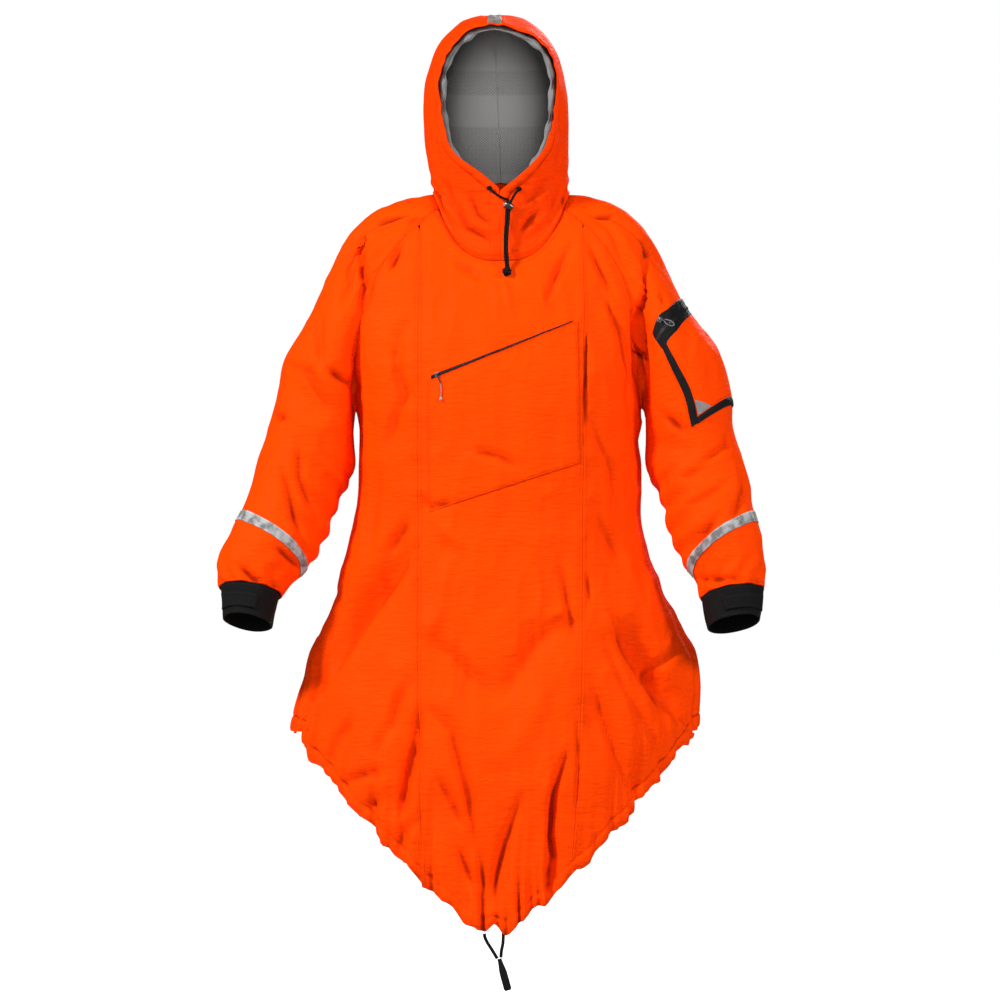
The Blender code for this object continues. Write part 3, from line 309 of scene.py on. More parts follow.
# %% Neck cords
EYELET_SHARES = ((-1, 0.045, 0.38), (1, 0.078, 0.38))
CORD_STARTS = (1.1, 6.0)
NECK_CORDS = {
    "left": ((24, -87.6, 11), (19.4, -88.6, 3), (16.4, -89, -3.5), (14.0, -88.2, -16.5),
             (13.4, -90, -30), (11.4, -93, -52), (11.0, -97, -80), (13.2, -99.7, -104.2)),
    "right": ((-11, -87.5, 13.6), (-2, -89, 7), (7, -89.6, 2.6), (12.5, -89.8, -0.3),
              (10.3, -89.1, -15.2), (9.6, -90.2, -30), (7.9, -92.6, -52), (7.6, -96.5, -80),
              (9.6, -99.5, -104.2)),
}
KNOT_CENTRE = (10.5, -99.8, -109.3)
KNOT_SIZE = (6.6, 5.2, 5.6)
HEM_CORDS = {
    "right": ((-23.9, -164.7, -1133.3), (-23.3, -165, -1139), (-19, -166, -1148),
              (-12.5, -167, -1158), (-4.1, -167.4, -1171.8)),
    "left": ((5.0, -165.1, -1132.6), (5.0, -165.4, -1139), (4.4, -166, -1149), (2.2, -167, -1160),
             (1.4, -167.4, -1170.3)),
}
HEM_TAB_TOP = (-1.0, -167.4, -1172.0)
HEM_TAB_FOOT = (12.6, -167.4, -1221.0)

neck_starts = {}
for side, across, up in EYELET_SHARES:
    place, out = hood_point(side, np.array([across]), np.array([up]))
    neck_starts[side] = [tuple(place[0] + out[0] * height) for height in CORD_STARTS]
cords = {}
for side, word in SIDES:
    route = (*neck_starts[side], *NECK_CORDS[word])
    cord = cord_curve("drawcord_" + word, route, CORD_RADIUS, NECK_CORD_POINTS)
    cords["neck_cord_" + word] = cord
for word, route in HEM_CORDS.items():
    name = "hem_cord_" + word
    cords[name] = cord_curve("elastic_" + name, route, HEM_CORD_RADIUS, HEM_CORD_POINTS)

# %% [markdown]
# ## Creases
# Coated nylon doesn't drape softly: it holds long straight creases with one sharp side. Each
# crease is a line drawn from its top downwards, as seen from the front. It sinks the cloth by
# its depth and fades over one width on the left of the line and another on its right. A
# negative depth is a ridge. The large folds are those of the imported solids.

# %% Large folds
# Columns of the folds: start_x, start_z, end_x, end_z, width, depth.
FRONT_FOLDS = (
    (-158, -560, -300, -740, 26, 14), (190, -665, 272, -795, 28, 15),
    (-118, -700, -12, -770, 30, 7), (85, -655, -4, -770, 30, 7), (-130, -800, -158, -955, 24, 8),
    (-100, -900, -28, -1085, 24, 8), (34, -925, -6, -1085, 24, 7), (84, -925, 78, -1060, 22, 9),
    (130, -780, 215, -925, 28, 9), (-238, -64, -228, -165, 20, 8), (230, -70, 215, -300, 26, 8),
    (-345, -262, -275, -335, 20, 9), (215, -372, 300, -392, 20, 7),
)
BACK_FOLDS = (
    (160, -540, 285, -730, 28, 12), (-175, -560, -290, -745, 28, 12), (60, -600, 110, -800, 28, 8),
    (-50, -620, -95, -810, 28, 8), (0, -560, 6, -700, 30, 6), (-335, -300, -270, -350, 22, 8),
    (345, -300, 280, -350, 22, 8),
)

# %% Creases of the front and the hood
def crease_rows(*rows):
    """Rows of depth, width on the left, width on the right, and then x and z of each point."""
    return [(*row[:3], np.array(row[3:], float).reshape(-1, 2)) for row in rows]


FRONT_CREASES = crease_rows(
    (15, 30, 7, -147, -566, -206, -636, -257, -721, -296, -775, -305, -829),
    (14, 7, 32, 186, -670, 220, -724, 251, -767, 282, -806),
    (6, 8, 8, 274, -698, 243, -728, 251, -747),
    (5, 8, 8, -140, -747, -160, -778, -170, -814, -194, -852),
    (8, 9, 7, -126, -801, -132, -845, -144, -891, -155, -949),
    (6, 9, 9, -105, -790, -74, -825, -62, -868, -46, -925, -36, -1003, -20, -1088),
    (4, 6, 6, -98, -894, -74, -930, -54, -976), (4, 6, 6, -68, -1000, -46, -1046, -28, -1088),
    (5, 8, 8, 34, -921, 11, -984, -5, -1042, -12, -1093),
    (10, 8, 6, 101, -862, 84, -918, 81, -984, 85, -1015, 73, -1065),
    (5, 8, 8, 141, -739, 158, -790, 178, -845, 194, -891, 209, -918),
    (3, 5, 5, 119, -809, 122, -868, 119, -964),
    (4, 14, 14, -112, -682, -70, -710, -36, -747, -8, -775),
    (4, 14, 14, 119, -654, 78, -670, 46, -705, 19, -749, -8, -775),
    (-3, 18, 18, -108, -725, -59, -794, -33, -845, -11, -865),
    (-3, 18, 18, 108, -701, 70, -752, 46, -806, 19, -849, -11, -865),
    (-3, 6, 6, 73, -646, 108, -631), (3, 4, 4, 135, -581, 140, -623),
    (5, 8, 8, -183, -885, -214, -891, -248, -904), (4, 8, 8, -183, -922, -198, -938, -217, -949),
    (5, 8, 8, -124, -956, -147, -976, -161, -1004), (5, 8, 8, -229, -806, -251, -837, -264, -876),
    (8, 5, 9, -215, -46, -222, -78, -209, -135, -214, -163),
    (4, 7, 7, -234, -62, -237, -104, -246, -166), (5, 7, 7, -284, -170, -281, -209, -279, -256),
    (6, 8, 8, -341, -251, -299, -267, -276, -302, -253, -336), (5, 7, 7, -268, -264, -225, -290),
    (4, 6, 6, -155, -73, -170, -108), (4, 6, 6, -118, -23, -144, -42),
    (5, 10, 9, -144, -186, -161, -212, -163, -240, -155, -279, -147, -302, -163, -341, -177, -395),
    (5, 9, 9, -141, -499, -160, -522, -178, -546), (4, 7, 7, -74, -57, -31, -73, -8, -74),
    (3, 8, 8, -90, -81, -46, -108, -28, -124, 0, -119), (5, 7, 7, 112, -70, 88, -116, 76, -150),
    (3, 6, 6, 135, -8, 174, -46, 202, -112), (4, 7, 7, 138, -65, 158, -108, 178, -147),
    (5, 8, 8, 158, -135, 189, -202, 209, -271, 203, -310, 212, -395),
    (8, 4, 5, 231, -62, 228, -132, 211, -174, 217, -232, 222, -279, 222, -336),
    (3, 6, 6, 240, -62, 274, -124), (3, 5, 5, 251, -140, 259, -163),
    (4, 3, 3, 135, -212, 132, -298, 133, -349), (5, 6, 6, 256, -333, 287, -360),
    (4, 5, 5, 356, -360, 352, -380, 318, -405), (4, 8, 8, 310, -418, 279, -434),
    (4, 7, 7, 388, -434, 360, -496), (3, 6, 6, 349, -442, 294, -476),
    (3, 6, 6, 341, -488, 298, -542), (3, 8, 8, -46, -388, -5, -398, 31, -414),
    (3, 6, 6, -124, -460, -105, -476, -70, -468), (-3, 10, 10, -93, -504, -54, -542),
    (-2, 6, 6, 8, -132, 19, -186), (-2, 6, 6, 62, -140, 70, -170),
    (5, 7, 7, -360, -333, -333, -339), (5, 7, 7, -341, -418, -322, -473, -302, -542),
    (4, 6, 6, -349, -535, -310, -574), (4, 6, 6, -316, -372, -310, -434, -282, -496),
    (4, 6, 6, 310, -589, 372, -586), (4, 6, 6, -409, -566, -369, -597),
    (4, 8, 8, 140, -341, 174, -418, 183, -496), (4, 9, 9, 155, -496, 189, -558),
    (3, 8, 8, -186, -418, -198, -496, -209, -558), (-4, 12, 12, -81, -558, -93, -636, -116, -682),
    (4, 8, 8, 93, -558, 105, -620, 116, -682), (4, 7, 7, 217, -775, 240, -837, 248, -884),
    (4, 7, 7, 163, -682, 198, -760, 229, -829),
)

HOOD_CREASES = crease_rows(
    (5, 5, 5, -98, 16, -93, -34), (4, 5, 5, -84, 28, -73, -8), (4, 6, 6, 96, 16, 78, -19),
    (6, 4, 4, 102, 6, 104, -42), (5, 6, 6, 57, -19, 31, -51),
    (4, 6, 6, -70, -8, -50, -43, -16, -62), (3, 6, 6, -46, 8, -34, -23, -12, -40),
    (3, 6, 6, 74, 31, 54, 6, 37, -8), (3, 7, 7, -99, 155, -104, 93, -93, 46),
    (3, 7, 7, 93, 163, 99, 101, 90, 54), (3, 6, 6, -70, 240, -93, 194), (3, 6, 6, 62, 240, 87, 194),
)

# %% Creases of the back
SKIRT_TOP = -540
BACK_SKIRT_SHARE = 0.52


def low_half(z):
    """Where a height on the front comes to lie on the shorter back of the skirt."""
    return z if z > SKIRT_TOP else SKIRT_TOP + (z - SKIRT_TOP) * BACK_SKIRT_SHARE


# The back has the front's outer and lower creases, turned round and moved a little.
BACK_SHIFT = (12, 14)
BACK_CREASES = [
    (depth, right, left, [(-x + BACK_SHIFT[0], low_half(z) + BACK_SHIFT[1]) for x, z in points])
    for depth, left, right, points in FRONT_CREASES
    if min(points[:, 0]) > 110 or max(points[:, 0]) < -90 or points[0][1] < SKIRT_TOP]

print(len(FRONT_CREASES) + len(HOOD_CREASES) + len(BACK_CREASES), "creases")

# %% How deep folds and creases are
# A crease fades out over this depth where the cloth turns from the front to the back.
FOLD_TURN = 60
CREASE_TURN = 50
CREASE_STRENGTH = 2.0


def folds(point):
    """How far the large folds pull the cloth in."""
    depth = np.zeros(point.shape[:-1])
    for rows, facing in ((FRONT_FOLDS, -1), (BACK_FOLDS, 1)):
        shown = ease(0.5 + facing * point[..., 1] / FOLD_TURN)
        for start_x, start_z, end_x, end_z, width, deep in rows:
            along = np.array((end_x - start_x, end_z - start_z), float)
            length = np.linalg.norm(along)
            from_start = np.stack((point[..., 0] - start_x, point[..., 2] - start_z), -1)
            run = from_start @ along / length ** 2
            aside = (from_start[..., 0] * along[1] - from_start[..., 1] * along[0]) / length
            fade = ease((run + 0.15) / 0.35) * ease((1.15 - run) / 0.35)
            depth += shown * deep * fade * np.exp(-(aside / width) ** 2)
    return depth


def creases(point, rows, facing):
    """How far a list of creases pulls the cloth in on the side that faces -1 front or 1 back."""
    x, z = point[..., 0], point[..., 2]
    total = np.zeros(x.shape)
    for depth, left, right, line in rows:
        line = np.array(line, float)
        steps = np.diff(line, axis=0)
        lengths = np.linalg.norm(steps, axis=1)
        before = np.concatenate(((0.0,), np.cumsum(lengths)))
        near = np.full(x.shape, 1e9)
        run, turn = np.zeros(x.shape), np.zeros(x.shape)
        for start, step, length, passed in zip(line, steps, lengths, before):
            off_x, off_z = x - start[0], z - start[1]
            share = np.clip((off_x * step[0] + off_z * step[1]) / length ** 2, 0, 1)
            gap_x, gap_z = off_x - share * step[0], off_z - share * step[1]
            gap = np.hypot(gap_x, gap_z)
            side = off_x * step[1] - off_z * step[0]
            closer = gap < near
            near = np.where(closer, gap, near)
            run = np.where(closer, passed + share * length, run)
            turn = np.where(closer, side, turn)
        share = run / before[-1]
        fade = np.sin(math.pi * np.clip(0.08 + 0.86 * share, 0, 1)) ** 0.8
        width = np.where(turn < 0, right, left)
        total += depth * fade * np.exp(-(near / width) ** 2)
    return CREASE_STRENGTH * total * ease(0.5 + facing * point[..., 1] / CREASE_TURN)

# %% Small uneven creases
def lattice(point, size, seed):
    """Smooth uneven values from -1 to 1, the same at the same place each time."""
    place = point / np.array(size, float) + seed * 7.31
    base = np.floor(place)
    part = place - base
    part = part * part * (3 - 2 * part)
    total = np.zeros(point.shape[:-1])
    for corner in range(8):
        step = np.array((corner & 1, corner >> 1 & 1, corner >> 2 & 1))
        spot = (base + step) @ np.array((127.1, 311.7, 74.7)) + seed * 19.19
        value = np.modf(np.abs(np.sin(spot) * 43758.5453))[0] * 2 - 1
        total += value * np.prod(np.where(step, part, 1 - part), -1)
    return total


SWELL = (70, 70, 120)
RIDGE = (34, 40, 64)
SMALL_RIDGE = (17, 22, 34)
SWELL_HEIGHT = 2.08
RIDGE_HEIGHT = 2.3
SMALL_RIDGE_HEIGHT = 0.9


def crumple(point):
    """The small uneven creases of handled cloth: broad swells with sharp ridges on them."""
    sharp = 1 - np.abs(lattice(point, RIDGE, 2)) * 2
    sharper = 1 - np.abs(lattice(point, SMALL_RIDGE, 3)) * 2
    ridges = RIDGE_HEIGHT * sharp + SMALL_RIDGE_HEIGHT * sharper
    return SWELL_HEIGHT * lattice(point, SWELL, 1) + ridges

# %% [markdown]
# ## The body cloth
# The front, two side fronts and the back are flat panels sewn edge to edge. The hem is a tunnel
# with elastic in it, so the cloth above it is gathered into uneven puckers. The puckers are
# waves along the hem that die away upwards, and the tunnel is a soft roll under a stitch line.

# %% Measures of the body cloth
GATHER_COUNT = 40
GATHER_DEPTH = 2.24
GATHER_ROWS = 0.72
NOTCH_X = -9.0
NOTCH_WIDTH = 30.0
NOTCH_HEIGHT = 17.0
NOTCH_REACH = 50
TUNNEL_HEIGHT = 21.0
TUNNEL_ROLL = 1.8
GROOVE_DEPTH = 0.9
GROOVE_WIDTH = 2.2
PRINCESS_PLACES = (-127.0, 127.0)
SEAM_PUCKER_HEIGHT = 0.45
SEAM_PUCKER_WIDTH = 11
SEAM_PUCKER_STEP = 4.4
SEAM_PUCKER_DRIFT = 37.0
NECK_HOLD = 0.25
# Columns of the scallops: spacing, height, phase. Puckers: spacing, height, reach, phase.
SCALLOPS = ((88.0, 4.2, 0.4), (43.0, 2.3, 1.9), (23.0, 0.4, 0.7))
SCALLOP_REACH = 34.0
SCALLOP_WANDER = 1.3
PUCKERS = ((34.0, 1.9, 90.0, 0.0), (21.0, 1.7, 55.0, 1.3), (13.5, 1.1, 34.0, 2.1),
           (61.0, 2.0, 170.0, 0.6))
PUCKER_LEAST = 0.45
PUCKER_MORE = 1.7
PUCKER_WANDER = 1.6

# %% Hem and seams
HEM_ANGLES = np.linspace(-math.pi, math.pi, 721)
HEM_STEPS = np.linalg.norm(np.diff(body_base(HEM_ANGLES, np.full(721, HEM_ROW)), axis=0), axis=1)
HEM_LENGTHS = np.concatenate(((0.0,), np.cumsum(HEM_STEPS)))
print(round(HEM_LENGTHS[-1]), "mm round the hem")


def hem_length(angle):
    """The length of hem from the back middle round to an angle."""
    wrapped = (np.asarray(angle) + math.pi) % (2 * math.pi) - math.pi
    return np.interp(wrapped, HEM_ANGLES, HEM_LENGTHS)


def hem_relief(run, drop):
    """Puckers along the hem and the roll of its tunnel, outwards, at a distance above the edge."""
    relief = np.zeros(run.shape)
    uneven = PUCKER_LEAST + PUCKER_MORE * ease(0.5 + np.sin(run / 57.0) * np.sin(run / 23.0 + 1))
    for spacing, height, reach, phase in PUCKERS:
        wander = PUCKER_WANDER * np.sin(run / (spacing * 4.3) + phase) + drop / (spacing * 6)
        wave = np.cos(2 * math.pi * run / spacing + phase + wander)
        relief += uneven * height * wave * np.exp(-drop / reach)
    roll = np.sin(math.pi * np.clip(drop / TUNNEL_HEIGHT, 0, 1)) ** 0.7
    groove = np.exp(-((drop - TUNNEL_HEIGHT - 1) / GROOVE_WIDTH) ** 2)
    return relief + TUNNEL_ROLL * roll - GROOVE_DEPTH * groove


def hem_scallops(run):
    """How far the drawn-in edge rises and falls along the hem."""
    edge = np.zeros(run.shape)
    for spacing, height, phase in SCALLOPS:
        wander = SCALLOP_WANDER * np.sin(run / (spacing * 1.7))
        edge += height * np.cos(2 * math.pi * run / spacing + phase + wander)
    return edge


def seam_puckers(point):
    """Small gathers beside the two princess seams."""
    relief = np.zeros(point.shape[:-1])
    front = point[..., 1] < 0
    wave = np.cos(point[..., 2] / SEAM_PUCKER_STEP + 2 * np.sin(point[..., 2] / SEAM_PUCKER_DRIFT))
    for place in PRINCESS_PLACES:
        away = np.abs(point[..., 0] - place)
        relief += front * SEAM_PUCKER_HEIGHT * wave * np.exp(-(away / SEAM_PUCKER_WIDTH) ** 2)
    return relief

# %% Body cloth
def body_point(angle, row):
    """The body cloth with its folds, creases and puckers, and its outward direction."""
    angle, row = np.broadcast_arrays(np.asarray(angle, float), np.asarray(row, float))
    base = body_base(angle, row)
    normal = body_normal(angle, row)
    drop = np.linalg.norm(base - body_base(angle, np.full_like(row, HEM_ROW)), axis=-1)
    run = hem_length(angle)
    gather = GATHER_DEPTH * (1 - ease((HEM_ROW - row) / GATHER_ROWS))
    wave = np.cos(2 * math.pi * GATHER_COUNT * run / HEM_LENGTHS[-1])
    sink = folds(base) + creases(base, FRONT_CREASES, -1) + creases(base, BACK_CREASES, 1)
    relief = gather * wave + hem_relief(run, drop) + seam_puckers(base) + crumple(base) - sink
    relief = relief * (NECK_HOLD + (1 - NECK_HOLD) * ease(row / 0.4))
    point = base + normal * relief[..., None]
    notch = np.clip(1 - np.abs(base[..., 0] - NOTCH_X) / (NOTCH_WIDTH / 2), 0, 1)
    point[..., 2] += NOTCH_HEIGHT * notch * (1 - ease(drop / NOTCH_REACH)) * (np.cos(angle) > 0)
    point[..., 2] += hem_scallops(run) * np.exp(-drop / SCALLOP_REACH)
    return point, normal

# %% Where the panels' seams run
def raglan_angle(row, behind):
    """The angle from the front middle of a raglan seam, or of the side seam below it."""
    degrees = spline(SEAM_ROWS, row)[..., 1 if behind else 0]
    angle = np.radians(np.clip(degrees, 0, 90))
    return math.pi - angle if behind else angle


def princess_angle(row, side):
    """The angle of a front princess seam; side is -1 for the wearer's right, 1 for the left."""
    place = spline(SEAM_ROWS, row)[..., 2 if side < 0 else 3]
    level = spline(BODY_ROWS, row)
    share = np.clip(np.abs(place - level[..., 6]) / level[..., 3], 0, 1)
    return side * np.arcsin(share ** (level[..., 8] / 2))


def front_edge(row, side):
    """The angle of the front panel's edge: the raglan seam, and the princess seam below it."""
    return min(raglan_angle(row, False), abs(princess_angle(row, side)))

# %% [markdown]
# ## Making a sheet
# Each sheet starts as a flat grid, whose points are moved to their places on the garment. The
# grid's UV map is set to the cloth's own measure in metres, so weave and stitches keep their
# scale. A second UV map holds how far along and how far from the sewn edge each point lies.
# Solidify then gives the sheet its thickness, inwards.

# %% Sheet helper
SHEET_THICKNESS = 1.1
VALLEY_START = 0.026
VALLEY_RANGE = 0.2


def lengths_along(points, axis):
    steps = np.linalg.norm(np.diff(points, axis=axis), axis=-1)
    start = np.zeros_like(np.take(steps, [0], axis))
    return np.concatenate((start, np.cumsum(steps, axis)), axis)


def bend(points, outward, axis):
    """How sharply rows of points turn outwards along one axis, per millimetre."""
    ahead, back = np.roll(points, -1, axis), np.roll(points, 1, axis)
    step = np.linalg.norm(ahead - back, axis=-1) / 2 + 1e-3
    turned = np.sum((ahead + back - 2 * points) * outward, -1) / step ** 2
    turned = np.moveaxis(turned, axis, 0)
    turned[[0, -1]] = 0
    return np.moveaxis(turned, 0, axis)


def hollowness(points, outward):
    """From 0 on flat or raised cloth to 1 in the hollow of a sharp crease: the painted shade there.
    """
    hollow = bend(points, outward, 0) + bend(points, outward, 1)
    for axis in (0, 1, 0, 1):
        hollow = (2 * hollow + np.roll(hollow, 1, axis) + np.roll(hollow, -1, axis)) / 4
    return ease((hollow - VALLEY_START) / VALLEY_RANGE)

# %% Sheet maker
def make_sheet(name, points, outward, thickness=SHEET_THICKNESS, closed=False, sewn="lrtb"):
    """A cloth sheet through rows of points, and its measures: width, length and area."""
    rows, columns = points.shape[:2]
    bpy.ops.object.select_all(action="DESELECT")
    bpy.ops.mesh.primitive_grid_add(x_subdivisions=columns - 1, y_subdivisions=rows - 1, size=1)
    sheet = bpy.context.object
    sheet.name = sheet.data.name = name
    mesh = sheet.data
    flat = np.empty(len(mesh.vertices) * 3)
    mesh.vertices.foreach_get("co", flat)
    flat = flat.reshape(-1, 3)
    across = np.rint((flat[:, 0] + 0.5) * (columns - 1)).astype(int)
    down = np.rint((0.5 - flat[:, 1]) * (rows - 1)).astype(int)
    mesh.vertices.foreach_set("co", (points[down, across] * METRE).ravel())
    wide, deep = lengths_along(points, 1), lengths_along(points, 0)
    edges = {"l": wide, "r": wide[:, -1:] - wide, "t": deep, "b": deep[-1:] - deep}
    near = np.full(points.shape[:2], 1e6)
    run = deep.copy()
    for edge in sewn:
        closer = edges[edge] < near
        near = np.where(closer, edges[edge], near)
        run = np.where(closer, deep if edge in "lr" else wide, run)
    corner = np.empty(len(mesh.loops), int)
    mesh.loops.foreach_get("vertex_index", corner)
    for layer, (u, v) in (("cloth", (wide, deep)), ("stitch", (run, near))):
        uv = mesh.uv_layers[0] if layer == "cloth" else mesh.uv_layers.new(name=layer)
        uv.name = layer
        spot = np.stack((u, v), -1)[down[corner], across[corner]] * METRE
        mesh.uv_layers[layer].data.foreach_set("uv", spot.ravel())
    # Painted shade: how far each point's colour is darkened in the hollow of a crease.
    crease_shade = mesh.attributes.new("crease_shade", "FLOAT", "POINT")
    crease_shade.data.foreach_set("value", hollowness(points, outward)[down, across].astype(np.float32))
    mesh.update()
    facing = np.cross(np.diff(points, axis=0)[:, :-1], np.diff(points, axis=1)[:-1])
    if np.sum(facing * outward[:-1, :-1]) < 0:
        mesh.flip_normals()
    if closed:
        weld(sheet)
    if thickness:
        add_wall(sheet, thickness)
    select_only(sheet)
    bpy.ops.object.shade_smooth()
    area = float(np.linalg.norm(facing, axis=-1).sum()) * METRE ** 2
    size = (float(wide[:, -1].max()) * METRE, float(deep[-1].max()) * METRE, area)
    print(f"{name}: {size[0]:.3f} x {size[1]:.3f} m, {area:.4f} m2, {len(mesh.polygons)} faces")
    return sheet, size


def weld(piece, fill=False):
    """Join the points where a closed form meets itself, and close its ends where asked."""
    select_only(piece)
    bpy.ops.object.mode_set(mode="EDIT")
    bpy.ops.mesh.select_all(action="SELECT")
    bpy.ops.mesh.remove_doubles(threshold=1e-6)
    if fill:
        bpy.ops.mesh.fill_holes(sides=0)
        bpy.ops.mesh.normals_make_consistent(inside=False)
    bpy.ops.object.mode_set(mode="OBJECT")


def add_wall(sheet, thickness):
    select_only(sheet)
    wall = sheet.modifiers.new("wall", "SOLIDIFY")
    wall.thickness = thickness * METRE
    wall.offset = -1
    bpy.ops.object.modifier_apply(modifier=wall.name)

# %% [markdown]
# ## The four body panels
# Rows run from the neck seam to the hem, closer together near the hem where the puckers are.

# %% Body panels
BODY_LEVELS = np.concatenate((np.linspace(0, 12.6, 200), np.linspace(12.63, HEM_ROW, 36)))
SIDE_START = 0.56
# Each panel: name, the solid it stands for, columns, first level, and its two edges as angles.
PANELS = (
    ("front_panel", "front_centre", 110, 0,
     lambda row: -front_edge(row, -1), lambda row: front_edge(row, 1)),
    ("side_panel_left", "side_front_left", 70, SIDE_START,
     lambda row: princess_angle(row, 1), lambda row: raglan_angle(row, False)),
    ("side_panel_right", "side_front_right", 70, SIDE_START,
     lambda row: -raglan_angle(row, False), lambda row: princess_angle(row, -1)),
    ("back_panel", "back", 160, 0,
     lambda row: raglan_angle(row, True), lambda row: 2 * math.pi - raglan_angle(row, True)))

body_sheets = []
for name, node, columns, start, first, last in PANELS:
    levels = BODY_LEVELS[BODY_LEVELS >= start - 1e-6]
    share = np.linspace(0, 1, columns)
    angle = np.array([first(level) + (last(level) - first(level)) * share for level in levels])
    level = np.repeat(levels[:, None], columns, 1)
    body_sheets.append((*make_sheet(name, *body_point(angle, level)), node))

# %% [markdown]
# ## Raglan sleeves
# A raglan sleeve runs up to the neck, so its seams slant over the chest and the back. Its upper
# part is a smooth bridge from those seams to the first ring below the shoulder, and the rest is
# a row of tilted rings down to the wrist.

# %% Sleeve form
RIGHT_SLEEVE_ROWS = (
    (-300, -188, -229, -340, 0, 86, 0), (-340, -256, -228, -382, -3, 81, 2),
    (-349, -310, -229, -410, -8, 76, 5), (-362, -362, -239, -436, -16, 71, 9),
    (-382, -425, -257, -475, -28, 67, 13), (-399, -478, -273, -520, -42, 63, 16),
    (-421, -522, -291, -558, -55, 60, 18), (-438, -562, -318, -586, -67, 53, 19),
    (-434, -600, -341, -613, -78, 45, 20), (-430, -627, -350, -640, -86, 42, 20),
    (-430, -648, -353, -661, -92, 41, 20),
)
LEFT_SLEEVE_ROWS = (
    (303, -186, 229, -340, 0, 86, 0), (341, -238, 228, -378, -3, 81, 2),
    (359, -300, 229, -410, -8, 76, 5), (365, -358, 241, -440, -16, 71, 9),
    (384, -425, 255, -480, -28, 67, 13), (396, -478, 267, -522, -42, 63, 16),
    (406, -525, 286, -560, -55, 59, 18), (411, -565, 306, -590, -67, 51, 19),
    (409, -604, 313, -618, -78, 46, 20), (406, -630, 318, -644, -86, 43, 20),
    (404, -650, 321, -664, -92, 42, 20),
)
# A raglan sleeve's edge is tucked this far under the body, and a hood's under the neck seam.
TUCK = 1.2
ELBOW_CREASE = 2.4
CUFF_BAGGING = 1.7
CUFF_HOLD = 0.15
CUFF_ROW = 8.0
SLEEVE_END_ROW = len(LEFT_SLEEVE_ROWS) - 1.0
NECK_SHARE = 0.115
SLEEVE_TAKE_OFF = 0.34
# How the cloth leaves the armhole: outwards at its top, and outwards and down under the arm.
SHOULDER_WAY = (1.0, 0.0, -0.16)
UNDERARM_WAY = (0.55, 0.0, -0.8)
SHOULDER_FULLNESS = 0.75
SQUARING = 0.55
CREASE_FACING = 0.5

# %% Armhole and sleeve rings
def armhole(side, turn):
    """Points round an armhole. The turn is 0 at the neck side, grows forwards and ends at 1.

    Up to the neck share it runs along the neck seam, and then down the raglan seam.
    """
    turn = np.asarray(turn, float)
    behind = turn < 0
    far = np.abs(turn)
    row = UNDERARM_ROW * np.clip((far - NECK_SHARE) / (1 - NECK_SHARE), 0, 1)
    raglan = np.where(behind, raglan_angle(row, True), raglan_angle(row, False))
    near = np.clip(far / NECK_SHARE, 0, 1)
    angle = side * (math.pi / 2 + (raglan - math.pi / 2) * near)
    return body_point(angle, row)


def sleeve_ring(side, turn, row):
    """A point on the sleeve below the shoulder, at fractional ring numbers."""
    rows = LEFT_SLEEVE_ROWS if side > 0 else RIGHT_SLEEVE_ROWS
    outer_x, outer_z, inner_x, inner_z, middle_y, half_depth, tilt = \
        np.moveaxis(spline(rows, row), -1, 0)
    phase = math.pi * np.asarray(turn, float)
    lean = np.radians(tilt)
    across, deep = np.cos(phase), np.sin(phase)
    x = (outer_x + inner_x) / 2 + across * (outer_x - inner_x) / 2
    y = middle_y - deep * half_depth * np.cos(lean)
    z = (outer_z + inner_z) / 2 + across * (outer_z - inner_z) / 2
    z += deep * half_depth * np.sin(lean)
    return np.stack((x, y, z), -1)

# %% The smooth sleeve
def sleeve_base(side, turn, row):
    """The smooth sleeve: rows from -1 to 0 cover the shoulder, and 0 is the first ring."""
    turn, row = np.broadcast_arrays(np.asarray(turn, float), np.asarray(row, float))
    below = sleeve_ring(side, turn, np.maximum(row, 0))
    start, normal = armhole(side, turn)
    first = sleeve_ring(side, turn, np.zeros_like(turn))
    chord = first - start
    length = np.linalg.norm(chord, axis=-1, keepdims=True)
    flat = unit(chord - normal * np.sum(chord * normal, -1, keepdims=True))
    ahead, back = (armhole(side, np.clip(turn + step, -1, 1))[0] for step in (0.01, -0.01))
    seam = ahead - back
    square_off = side * unit(np.cross(normal, seam))
    outward, under = (unit(np.array(way) * (side, 1, 1)) for way in (SHOULDER_WAY, UNDERARM_WAY))
    far = np.abs(turn)[..., None]
    flat = unit(flat + (square_off - flat) * SQUARING * (1 - ease((far - 0.2) / 0.4)))
    clear = np.maximum(SLEEVE_TAKE_OFF - np.sum(flat * square_off, -1, keepdims=True), 0)
    flat = unit(flat + square_off * clear)
    top = 1 - ease((far - NECK_SHARE * 0.6) / 0.2)
    bottom = ease((far - 0.72) / 0.24)
    leave = unit(flat * (1 - top) * (1 - bottom) + outward * top + under * bottom)
    leave = leave * (1 + SHOULDER_FULLNESS * top)
    arrive = unit(sleeve_ring(side, turn, np.full_like(turn, 0.1)) - first)
    part = np.clip(row + 1, 0, 1)[..., None]
    cube, square = part ** 3, part ** 2
    above = start * (2 * cube - 3 * square + 1) + first * (3 * square - 2 * cube)
    above = above + (leave * (cube - 2 * square + part) + arrive * (cube - square)) * length
    return np.where(row[..., None] < 0, above, below)


def sleeve_normal(side, turn, row):
    """The outward direction of the smooth sleeve."""
    step = 0.01
    down = sleeve_base(side, turn, np.minimum(row + step, SLEEVE_END_ROW))
    up = sleeve_base(side, turn, np.maximum(row - step, -1))
    around = sleeve_base(side, turn + step, row) - sleeve_base(side, turn - step, row)
    return unit(np.cross(around, down - up)) * side

